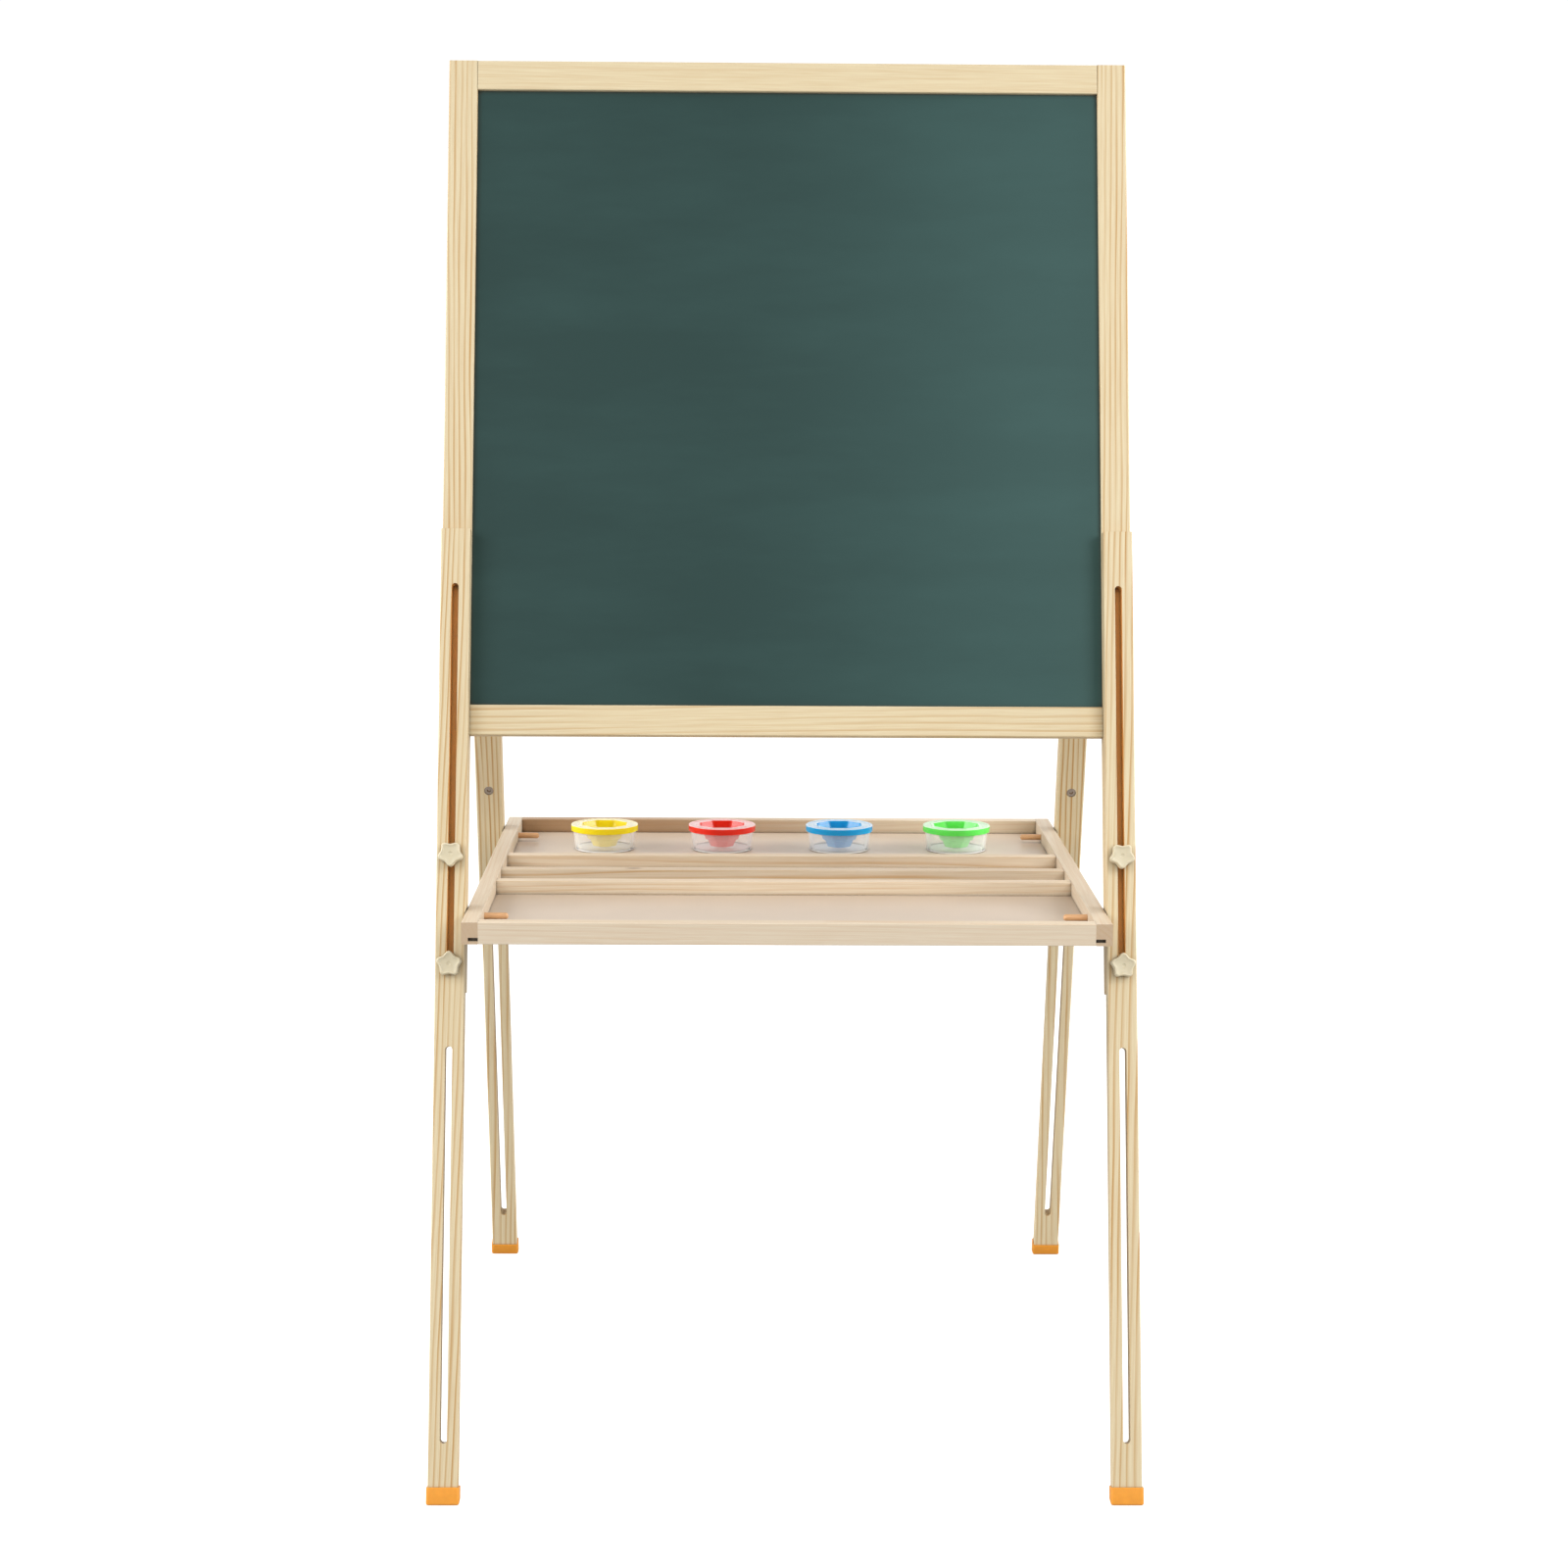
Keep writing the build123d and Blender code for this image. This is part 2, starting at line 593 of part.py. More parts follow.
def make_divider(y):
    """A bar across the tray's floor, with its upper edges rounded."""
    with BuildPart() as divider:
        with BuildSketch(Plane.XY.offset(TRAY_FLOOR_TOP)):
            with Locations((0, y)):
                Rectangle(TRAY_INNER_WIDTH, DIVIDER_WIDTH)
        extrude(amount=DIVIDER_HEIGHT)
        fillet(divider.faces().sort_by(Axis.Z)[-1].edges().filter_by(Axis.X), TRAY_EDGE_ROUND)
    return divider.part


def make_peg(side, y, reach):
    """A turned peg, round at both ends, pushed outwards through a side rail."""
    inner_end = TRAY_INNER_WIDTH / 2 - PEG_REACH_IN
    with BuildPart() as peg:
        with BuildSketch(peg_plane(side, inner_end)):
            with Locations((y, 0)):
                Circle(PEG_RADIUS)
        extrude(amount=reach - inner_end)
        outwards = Axis((0, 0, 0), (SIDES[side], 0, 0))
        fillet(peg.edges().group_by(outwards)[0], PEG_NOSE_ROUND)
        fillet(peg.edges().group_by(outwards)[-1], PEG_TIP_ROUND)
    return peg.part


# Paint pots


def make_cup(x):
    """A clear cup with a tapered wall, open at the top."""
    base = TRAY_FLOOR_TOP
    place = Plane(origin=(x, CUP_Y, base), x_dir=(1, 0, 0), z_dir=(0, -1, 0))
    with BuildPart() as cup:
        with BuildSketch(place):
            with BuildLine():
                Polyline(
                    (0, 0),
                    (CUP_BASE_RADIUS, 0),
                    (CUP_RIM_RADIUS, CUP_HEIGHT),
                    (CUP_RIM_RADIUS - CUP_WALL, CUP_HEIGHT),
                    (CUP_BASE_RADIUS - CUP_WALL, CUP_FLOOR),
                    (0, CUP_FLOOR),
                    close=True,
                )
            make_face()
        revolve(axis=Axis((x, CUP_Y, base), (0, 0, 1)))
        fillet(cup.edges().filter_by(GeomType.CIRCLE).group_by(Axis.Z)[0], CUP_FOOT_ROUND)
    return cup.part


def funnel_levels(top, tip):
    """Radius and height of each level of a lid's funnel, from its mouth down to its open tip: the head and
    foot of every tier, with a small ledge between one tier and the next."""
    tiers = len(LID_FUNNEL_TIERS)
    tier_drop = (top - tip - (tiers - 1) * LID_FUNNEL_LEDGE_DROP) / tiers
    levels = []
    height = top
    for head, foot in LID_FUNNEL_TIERS:
        levels.append((head, height))
        levels.append((foot, height - tier_drop))
        height -= tier_drop + LID_FUNNEL_LEDGE_DROP
    return levels


def funnel_outline(radius, mode=Mode.ADD):
    """One level of the funnel, with a flat side towards the front."""
    RegularPolygon(radius, LID_FUNNEL_SIDES, rotation=180 / LID_FUNNEL_SIDES, mode=mode)


def make_lid(x):
    """A no-spill lid: a skirt over the cup's rim, a dished top, and a stepped, faceted funnel whose lip
    stands round its mouth and whose open tip stops short of the cup's floor."""
    rim = TRAY_FLOOR_TOP + CUP_HEIGHT
    top = rim + LID_WALL
    outer = CUP_RIM_RADIUS + LID_FIT + LID_WALL
    tip = TRAY_FLOOR_TOP + CUP_FLOOR + LID_FUNNEL_FLOOR_GAP
    levels = funnel_levels(top, tip)
    level = Plane(origin=(x, CUP_Y, 0))
    with BuildPart() as lid:
        with BuildSketch(level.offset(rim - LID_SKIRT)):
            Circle(outer)
        extrude(amount=LID_SKIRT + LID_WALL)
        with BuildSketch(level.offset(rim - LID_SKIRT)):
            Circle(CUP_RIM_RADIUS + LID_FIT)
        extrude(amount=LID_SKIRT, mode=Mode.SUBTRACT)
        with BuildSketch(level.offset(top)):
            Circle(outer - LID_RIM_WIDTH)
            funnel_outline(LID_FUNNEL_TIERS[0][0] + LID_LIP_WIDTH, Mode.SUBTRACT)
        extrude(amount=-LID_DISH_DEPTH, mode=Mode.SUBTRACT)
        for radius, height in levels:
            with BuildSketch(level.offset(height)):
                funnel_outline(radius)
        loft(ruled=True)
        for radius, height in levels:
            with BuildSketch(level.offset(height)):
                funnel_outline(radius - LID_WALL)
        loft(ruled=True, mode=Mode.SUBTRACT)
    return lid.part


def build_frame(name):
    """All the pieces that make one leaning frame, its legs and its knobs."""
    frame = FRAMES[name]
    save_frame_members(name, frame)
    save(make_bolts(frame), f"{name}_bolts")
    save(make_hinge_leaves(frame, 0 if frame is FRONT else 1), f"{name}_hinge_leaves")
    save(make_hinge_screws(frame), f"{name}_hinge_screws")
    for side in SIDES:
        save(make_leg(frame, side), f"{name}_{side}_leg")
        save(make_foot_cap(frame, side), f"{name}_{side}_foot_cap")
        points = bolt_points([local_x(frame, side)])
        for (level, point_up), point in zip(KNOB_POINT_UP.items(), points):
            save(make_knob(frame, point, point_up), f"{name}_{side}_{level}_knob")


def save_frame_members(name, frame):
    """Stiles, rails, board and dowels of one frame."""
    peg_depth = PEG_STILE_DEPTH + PEG_HOLE_END_GAP
    for side in SIDES:
        save(make_stile(frame, side, peg_depth), f"{name}_{side}_stile")
    top_rail = make_rail(frame, RAIL_WIDTH / 2, -1)
    save(bore_for_screws(top_rail, frame), f"{name}_top_rail")
    save(make_rail(frame, FRAME_HEIGHT - RAIL_WIDTH / 2, 1), f"{name}_bottom_rail")
    save(make_board(frame), "chalkboard" if frame is FRONT else "whiteboard")
    save(make_frame_dowels(frame), f"{name}_frame_dowels")


def build_tray():
    """The tray with its floor, dividers and pegs."""
    front_reach = OPENING_WIDTH / 2 + PEG_STILE_DEPTH
    rear_reach = TRAY_WIDTH / 2 - REAR_PEG_SHY
    for side in SIDES:
        save(make_tray_side_rail(side), f"tray_{side}_rail")
        save(make_peg(side, -PEG_Y, front_reach), f"front_{side}_peg")
        save(make_peg(side, PEG_Y, rear_reach), f"rear_{side}_peg")
    save(make_tray_end_rail(-1), "tray_front_rail")
    save(make_tray_end_rail(1), "tray_back_rail")
    save(make_tray_dowels(), "tray_dowels")
    save(make_tray_floor(), "tray_floor")
    save(make_divider(BACK_DIVIDER_Y), "tray_back_divider")
    save(make_divider(MIDDLE_DIVIDER_Y), "tray_middle_divider")
    save(make_divider(FRONT_DIVIDER_Y), "tray_front_divider")


def build_pots():
    """Four cups in a row behind the dividers, each with its lid."""
    for place, colour in enumerate(POT_COLOURS):
        x = FIRST_CUP_X + place * CUP_SPACING
        save(make_cup(x), f"{colour}_cup")
        save(make_lid(x), f"{colour}_lid")


os.makedirs("parts", exist_ok=True)
for frame_name in FRAMES:
    build_frame(frame_name)
save(make_hinge_pins(), "hinge_pins")
build_tray()
build_pots()
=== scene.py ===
"""Dresses a double-sided children's easel: pine grain, boards, star knobs, foot caps and paint pots.

Metres, +Z up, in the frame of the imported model. The chalkboard faces -Y, and left is -X.
"""

import json
import math
import random
from functools import partial

import bmesh
import bpy
from mathutils import Matrix, Vector


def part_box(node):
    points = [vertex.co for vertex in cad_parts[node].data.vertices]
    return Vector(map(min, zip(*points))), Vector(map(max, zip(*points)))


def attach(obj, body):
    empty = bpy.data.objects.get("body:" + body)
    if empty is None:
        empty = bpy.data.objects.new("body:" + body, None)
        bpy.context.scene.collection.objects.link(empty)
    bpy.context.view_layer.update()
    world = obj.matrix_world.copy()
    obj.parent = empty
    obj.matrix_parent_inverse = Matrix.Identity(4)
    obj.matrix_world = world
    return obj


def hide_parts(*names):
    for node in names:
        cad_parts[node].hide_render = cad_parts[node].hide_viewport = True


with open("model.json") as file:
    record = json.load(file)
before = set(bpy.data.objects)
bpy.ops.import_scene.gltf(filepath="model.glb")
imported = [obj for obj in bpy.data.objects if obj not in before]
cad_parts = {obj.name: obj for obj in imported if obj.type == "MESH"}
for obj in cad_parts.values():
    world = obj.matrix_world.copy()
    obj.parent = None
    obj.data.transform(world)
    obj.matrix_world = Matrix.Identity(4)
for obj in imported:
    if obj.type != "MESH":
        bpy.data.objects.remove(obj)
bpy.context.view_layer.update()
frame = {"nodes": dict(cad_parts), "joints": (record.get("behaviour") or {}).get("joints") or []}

bl_info = {
    "name": "Kids Easel",
    "version": (1, 0, 0),
    "blender": (4, 5, 0),
    "location": "3D View > Sidebar > Easel",
    "description": "Dresses a double-sided children's easel with wood, knobs, foot caps and paint pots",
    "category": "Object",
}

MM = 0.001
NODES = frame["nodes"]
JOINTS = {joint["name"]: joint for joint in frame["joints"]}
FRAMES = ("front", "rear")
SIDES = ("left", "right")
LEVELS = ("upper", "lower")
POT_COLOURS = ("yellow", "red", "blue", "green")
ACROSS = Vector((1, 0, 0))
BACKWARDS = Vector((0, 1, 0))
UP = Vector((0, 0, 1))
UP_THE_STILES = {name: -Vector(JOINTS[f"{name}_left_leg_slide"]["axis"]) for name in FRAMES}
OUTWARDS = {name: Vector(JOINTS[f"{name}_left_upper_knob_turn"]["axis"]) for name in FRAMES}


def linear(colour):
    """Linear RGBA of an sRGB hex colour."""
    channels = [int(colour[start : start + 2], 16) / 255 for start in (0, 2, 4)]
    return [c / 12.92 if c <= 0.04045 else ((c + 0.055) / 1.055) ** 2.4 for c in channels] + [1.0]


def colour_property(name, description, colour):
    """A colour that a user can change."""
    return bpy.props.FloatVectorProperty(
        name=name, description=description, subtype="COLOR", size=4, min=0, max=1, default=linear(colour)
    )


def share_property(name, description, share):
    """A share that a user can change."""
    return bpy.props.FloatProperty(name=name, description=description, subtype="FACTOR", default=share)


def length_property(name, description, millimetres):
    """A size that a user can change."""
    return bpy.props.FloatProperty(
        name=name, description=description, unit="LENGTH", subtype="DISTANCE", default=millimetres * MM
    )


class EaselTimber(bpy.types.PropertyGroup):
    """Colours and grain of the wooden pieces."""

    early_wood: colour_property("Early wood", "Pale spring growth of the frame and legs", "D9CAA7")
    late_wood: colour_property("Late wood", "Darker summer growth of the frame and legs", "B98F56")
    tray_early_wood: colour_property("Tray early wood", "Pale growth of the tray's rails", "D3C5AF")
    tray_late_wood: colour_property("Tray late wood", "Darker growth of the tray's rails", "C3A07A")
    beech: colour_property("Beech", "Turned pegs and dowels", "D9A878")
    # Orange-brown painted in the legs' slots as warm shade.
    slot_shade_colour: colour_property("Amber", "Wood that has ambered in the legs' slots", "EFBF73")
    # This brown is painted shadow on the tray's back rail, and, darkened, the colour of the knot in the
    # middle divider.
    shadow_and_knot: colour_property("Heartwood", "Brown heart of the tray's back rail and its knot", "A27C55")
    slot_width: length_property("Slot width", "Width of the slots in the legs", 6.5)
    ring_spacing: length_property("Ring spacing", "Distance between two growth rings", 4.6)
    fibre_width: length_property("Fibre width", "Width of the fine streaks along the grain", 0.9)


class EaselBoards(bpy.types.PropertyGroup):
    """Colours of the two boards and the tray's floor."""

    chalkboard: colour_property("Chalkboard", "Matt green-grey writing face", "213A37")
    # Also the colour of the painted light that grows towards the board's right.
    chalk_and_light: colour_property("Chalk dust", "Thin film of wiped chalk", "3B5B58")
    whiteboard: colour_property("Whiteboard", "Glossy white writing face", "EDEEEC")
    tray_panel: colour_property("Tray panel", "Lacquered fibreboard floor", "CDBCA9")
    hardboard: colour_property("Hardboard", "Bare back of both boards", "B0906A")


class EaselKnobs(bpy.types.PropertyGroup):
    """Sizes of the star knobs, and the colour of their plastic."""

    ivory: colour_property("Ivory", "Moulded plastic of the star knobs", "CEC3A6")
    point_radius: length_property("Point radius", "Reach of the points before they are rounded", 13.3)
    valley_radius: length_property("Valley radius", "Reach of the valleys before they are rounded", 8.8)
    point_round: length_property("Point round", "Radius at each point", 3.0)
    valley_round: length_property("Valley round", "Radius in each valley", 5.0)
    height: length_property("Height", "Thickness of the star", 10.0)
    hub_radius: length_property("Hub radius", "Radius of the round hub against the leg", 6.5)
    hub_height: length_property("Hub height", "Height of the hub", 2.5)
    bore_radius: length_property("Bore radius", "Radius of the hole for the bolt", 3.06)
    bore_depth: length_property("Bore depth", "Depth of the hole for the bolt", 9.0)


class EaselCaps(bpy.types.PropertyGroup):
    """The rubber foot caps."""

    orange: colour_property("Orange", "Soft rubber of the foot caps", "E4962A")
    edge_round: length_property("Edge round", "Rounding of the cap's rims", 0.45)


class EaselPots(bpy.types.PropertyGroup):
    """Sizes and colours of the paint pots."""

    yellow: colour_property("Yellow", "Lid of the first pot", "EBD31C")
    red: colour_property("Red", "Lid of the second pot", "E3301F")
    blue: colour_property("Blue", "Lid of the third pot", "189FD8")
    green: colour_property("Green", "Lid of the fourth pot", "66E05E")
    clear: colour_property("Clear", "Plastic of the cups", "FDFEFE")
    foot_grey: colour_property("Foot grey", "Shaded corner at the back of a cup's foot", "8E9294")
    haze: share_property("Haze", "Share of light that a cup's wall stops", 0.14)
    edge_haze: share_property("Edge haze", "Share of light that a wall stops when seen edge on", 0.55)
    foot_haze: share_property("Foot haze", "Share of light that a cup's floor and foot stop", 0.8)
    wall: length_property("Wall", "Thickness of the cup and of the lid", 1.3)
    base_radius: length_property("Base radius", "Outer radius at the foot of a cup", 30.6)
    floor_thickness: length_property("Floor thickness", "Thickness of a cup's floor", 1.6)
    skirt: length_property("Skirt", "How far a lid reaches down over its cup's rim", 5.0)
    rim_width: length_property("Rim width", "Width of the raised rim round a lid", 2.2)
    lip_width: length_property("Lip width", "Width of the lip round a funnel's mouth", 1.8)
    dish_depth: length_property("Dish depth", "Depth of the ring between the rim and the lip", 0.6)
    sides: bpy.props.IntProperty(
        name="Sides", description="Faces round a pot, a multiple of sixteen", min=32, max=256, default=192
    )


class EaselStage(bpy.types.PropertyGroup):
    """Camera and light."""

    lens: bpy.props.FloatProperty(
        name="Lens", description="Focal length on a 36 mm sensor", subtype="DISTANCE_CAMERA", default=69.64
    )
    floor: colour_property("Floor", "Pale studio floor", "A8A8A8")
    key_power: bpy.props.FloatProperty(
        name="Key power",
        description="Power that the lights share out",
        subtype="POWER",
        unit="POWER",
        default=30.0,
    )
    sky: bpy.props.FloatProperty(name="Sky", description="Light from the white surround", default=0.74)
    lift: bpy.props.FloatProperty(
        name="Lift", description="How much brighter the floor looks than it is lit", default=0.85
    )


class EaselSettings(bpy.types.PropertyGroup):
    """Everything that a user can change."""

    timber: bpy.props.PointerProperty(type=EaselTimber)
    boards: bpy.props.PointerProperty(type=EaselBoards)
    knobs: bpy.props.PointerProperty(type=EaselKnobs)
    caps: bpy.props.PointerProperty(type=EaselCaps)
    pots: bpy.props.PointerProperty(type=EaselPots)
    stage: bpy.props.PointerProperty(type=EaselStage)


# Shared helpers


# Painted shade in tight corners: how far it looks for cover, how dark it gets at most, and its colour.
NOOK_REACH = 5 * MM
NOOK_SHADE = 0.75
NOOK_SHADE_COLOUR = "3A2A1C"
SQUARELY = 0.5


def node(tree, kind, inputs=None, **settings):
    """Add a node, apply its settings and fill its sockets: a socket is linked, anything else is set."""
    made = tree.nodes.new(kind)
    for name, value in settings.items():
        setattr(made, name, value)
    for key, value in (inputs or {}).items():
        if isinstance(value, bpy.types.NodeSocket):
            tree.links.new(value, made.inputs[key])
        else:
            made.inputs[key].default_value = value
    return made


def new_material(name):
    """An empty node material, with its tree and the place of each point on the object."""
    material = bpy.data.materials.new(name)
    material.use_nodes = True
    tree = material.node_tree
    tree.nodes.clear()
    return material, tree, node(tree, "ShaderNodeTexCoord").outputs["Object"]


def surface(material, inputs):
    """Finish a material with one shader that has these inputs."""
    tree = material.node_tree
    shader = node(tree, "ShaderNodeBsdfPrincipled", inputs)
    node(tree, "ShaderNodeOutputMaterial", {"Surface": shader.outputs[0]})
    return material


def shade(colour, factor):
    """A colour made lighter or darker."""
    return [channel * factor for channel in colour[:3]] + [1.0]


def two_tone(tree, share, colour, first, second):
    """A colour that wanders between two tones of itself."""
    tones = {0: share.outputs["Fac"], 6: shade(colour, first), 7: shade(colour, second)}
    return node(tree, "ShaderNodeMix", tones, data_type="RGBA")


def facing_share(tree, facing):
    """How squarely a surface faces a direction, from -1 to 1."""
    normal = node(tree, "ShaderNodeTexCoord").outputs["Normal"]
    share = node(tree, "ShaderNodeVectorMath", {0: normal, 1: facing}, operation="DOT_PRODUCT")
    return share.outputs["Value"]


def all_of(tree, first, *others):
    """A mask that is the product of several."""
    for other in others:
        first = node(tree, "ShaderNodeMath", {0: first, 1: other}, operation="MULTIPLY").outputs[0]
    return first


def painted_nook_shade(tree, colour):
    """A colour darkened towards dark brown in tight corners: painted shade where little light reaches."""
    nooks = node(tree, "ShaderNodeAmbientOcclusion", {"Distance": NOOK_REACH}, samples=4)
    overlay = node(
        tree,
        "ShaderNodeMapRange",
        {"Value": nooks.outputs["AO"], "From Min": 0.3, "From Max": 0.8, "To Min": NOOK_SHADE, "To Max": 0.0},
    )
    return node(
        tree, "ShaderNodeMix", {0: overlay.outputs[0], 6: colour, 7: linear(NOOK_SHADE_COLOUR)}, data_type="RGBA"
    )


def paint(piece, material):
    """Give a piece one material all over."""
    piece.data.materials.clear()
    piece.data.materials.append(material)


def place_piece(piece, body, node_name):
    """Let a new piece stand for its CAD node and ride on its body."""
    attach(piece, body)
    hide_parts(node_name)


def add_object(name, mesh):
    """Link a new object at the origin."""
    made = bpy.data.objects.new(name, mesh)
    bpy.context.scene.collection.objects.link(made)
    return made


def smooth(mesh, angle):
    """Shade a mesh smooth, with edges sharper than an angle kept crisp."""
    mesh.shade_smooth()
    mesh.set_sharp_from_angle(angle=math.radians(angle))


# Wood


RING_WAVE = 2 * math.pi / 20
RING_WANDER = 6.5
RING_WANDER_SCALE = 0.45
LATE_WOOD = (0.5, 0.97)
FAINTEST_RING = 0.15
PATCH_WIDTH = 22 * MM
LINE_WIDTH = 5 * MM
STREAKS = 0.35
GRAIN_STRETCH = 11.0
FIBRE_STRETCH = 60.0
GRAIN_TILT = 0.012
LEG_GRAIN_TILT = 0.035
PITH_DISTANCE = (45 * MM, 120 * MM)
PITH_SWING = 60.0
TONE_SPREAD = (0.95, 1.03)
END_GRAIN = 0.6
SLOT_REACH = 40 * MM
SLOT_SKY = (0.33, 0.48)
SLOT_PLAY = 0.1 * MM
KNOT_STRETCH = 2.6
KNOT_DEPTH = 0.8
KNOT_TONE = 0.45
KNOT_CORE = 0.8 * MM
KNOT_RADIUS = 4.5 * MM
KNOT_ACROSS = -147 * MM
# Painted shadow that browns the tray's back rail towards its left end.
BACK_RAIL_SHADOW = {"start": -180 * MM, "end": 150 * MM, "most": 0.82}
STILE_CONTRAST = {"front": 1.25, "rear": 1.7}
LEG_CONTRAST = 1.15
# The rear legs' higher tone is painted light, lifting legs that stand in shade.
LEG_TONE_AND_LIGHT = {"front": 0.98, "rear": 1.08}
RAIL_LOOKS = {"top": (0.22, 0.97), "bottom": (0.65, 0.94)}
TRAY_CONTRAST = 0.35
DIVIDER_CONTRAST = 0.5
KNOTTED_CONTRAST = 0.9


def by_middle_line(tree, place, middle):
    """A mask that is 1 within a slot's width, on either side of a leg's middle line."""
    timber = bpy.context.scene.easel.timber
    across = node(tree, "ShaderNodeSeparateXYZ", {0: place}).outputs["X"]
    return node(
        tree,
        "ShaderNodeMath",
        {0: across, 1: middle, 2: timber.slot_width / 2 + SLOT_PLAY},
        operation="COMPARE",
    ).outputs[0]


def slot_wall_shade(tree, place, wood, middle, up, foot):
    """Wood painted orange-brown on the walls of a leg's upper slot, which face sideways: painted shade for
    the dim, warm light in the slot.
    """
    sideways = node(tree, "ShaderNodeMath", {0: facing_share(tree, ACROSS)}, operation="ABSOLUTE")
    wall = node(tree, "ShaderNodeMath", {0: sideways.outputs[0], 1: SQUARELY}, operation="GREATER_THAN")
    height = node(tree, "ShaderNodeVectorMath", {0: place, 1: up}, operation="DOT_PRODUCT")
    above = node(tree, "ShaderNodeMath", {0: height.outputs["Value"], 1: foot}, operation="GREATER_THAN")
    return painted_slot_shade(tree, wood, by_middle_line(tree, place, middle), wall.outputs[0], above.outputs[0])


def slot_strip_shade(tree, place, wood, middle, facing):
    """Wood painted orange-brown in the strip of a stile that lies deep in a leg's slot, wherever the leg is:
    painted shade where the strip sees little sky.
    """
    face = node(
        tree, "ShaderNodeMath", {0: facing_share(tree, facing), 1: SQUARELY}, operation="GREATER_THAN"
    )
    sky_share = node(tree, "ShaderNodeAmbientOcclusion", {"Distance": SLOT_REACH}, samples=16)
    deep = node(
        tree,
        "ShaderNodeMapRange",
        {
            "Value": sky_share.outputs["AO"],
            "From Min": SLOT_SKY[0],
            "From Max": SLOT_SKY[1],
            "To Min": 1.0,
            "To Max": 0.0,
        },
    )
    return painted_slot_shade(tree, wood, by_middle_line(tree, place, middle), face.outputs[0], deep.outputs[0])


def painted_slot_shade(tree, wood, *masks):
    """Wood with the slots' painted shade where all masks are 1."""
    slot_shade_colour = bpy.context.scene.easel.timber.slot_shade_colour[:]
    return node(tree, "ShaderNodeMix", {0: all_of(tree, *masks), 6: wood, 7: slot_shade_colour}, data_type="RGBA")


def painted_rail_shadow(tree, place, wood, start, end, most):
    """Painted shadow: wood that turns browner along a piece, from one place across the easel to another."""
    across = node(tree, "ShaderNodeSeparateXYZ", {0: place}).outputs["X"]
    share = node(
        tree,
        "ShaderNodeMapRange",
        {"Value": across, "From Min": start, "From Max": end, "To Min": most, "To Max": 0.0},
        interpolation_type="SMOOTHSTEP",
    )
    brown = bpy.context.scene.easel.timber.shadow_and_knot[:]
    return node(tree, "ShaderNodeMix", {0: share.outputs[0], 6: wood, 7: brown}, data_type="RGBA")


def knotted(tree, place, wood, middle):
    """Wood with one small knot, longer along the piece than across it."""
    stretched = node(
        tree,
        "ShaderNodeMapping",
        {"Vector": place, "Location": middle, "Scale": (KNOT_STRETCH, 1, 1)},
        vector_type="TEXTURE",
    )
    distance = node(tree, "ShaderNodeVectorMath", {0: stretched.outputs[0]}, operation="LENGTH")
    share = node(
        tree,
        "ShaderNodeMapRange",
        {
            "Value": distance.outputs["Value"],
            "From Min": KNOT_CORE,
            "From Max": KNOT_RADIUS,
            "To Min": KNOT_DEPTH,
            "To Max": 0.0,
        },
        interpolation_type="SMOOTHSTEP",
    )
    brown = shade(bpy.context.scene.easel.timber.shadow_and_knot, KNOT_TONE)
    return node(tree, "ShaderNodeMix", {0: share.outputs[0], 6: wood, 7: brown}, data_type="RGBA")


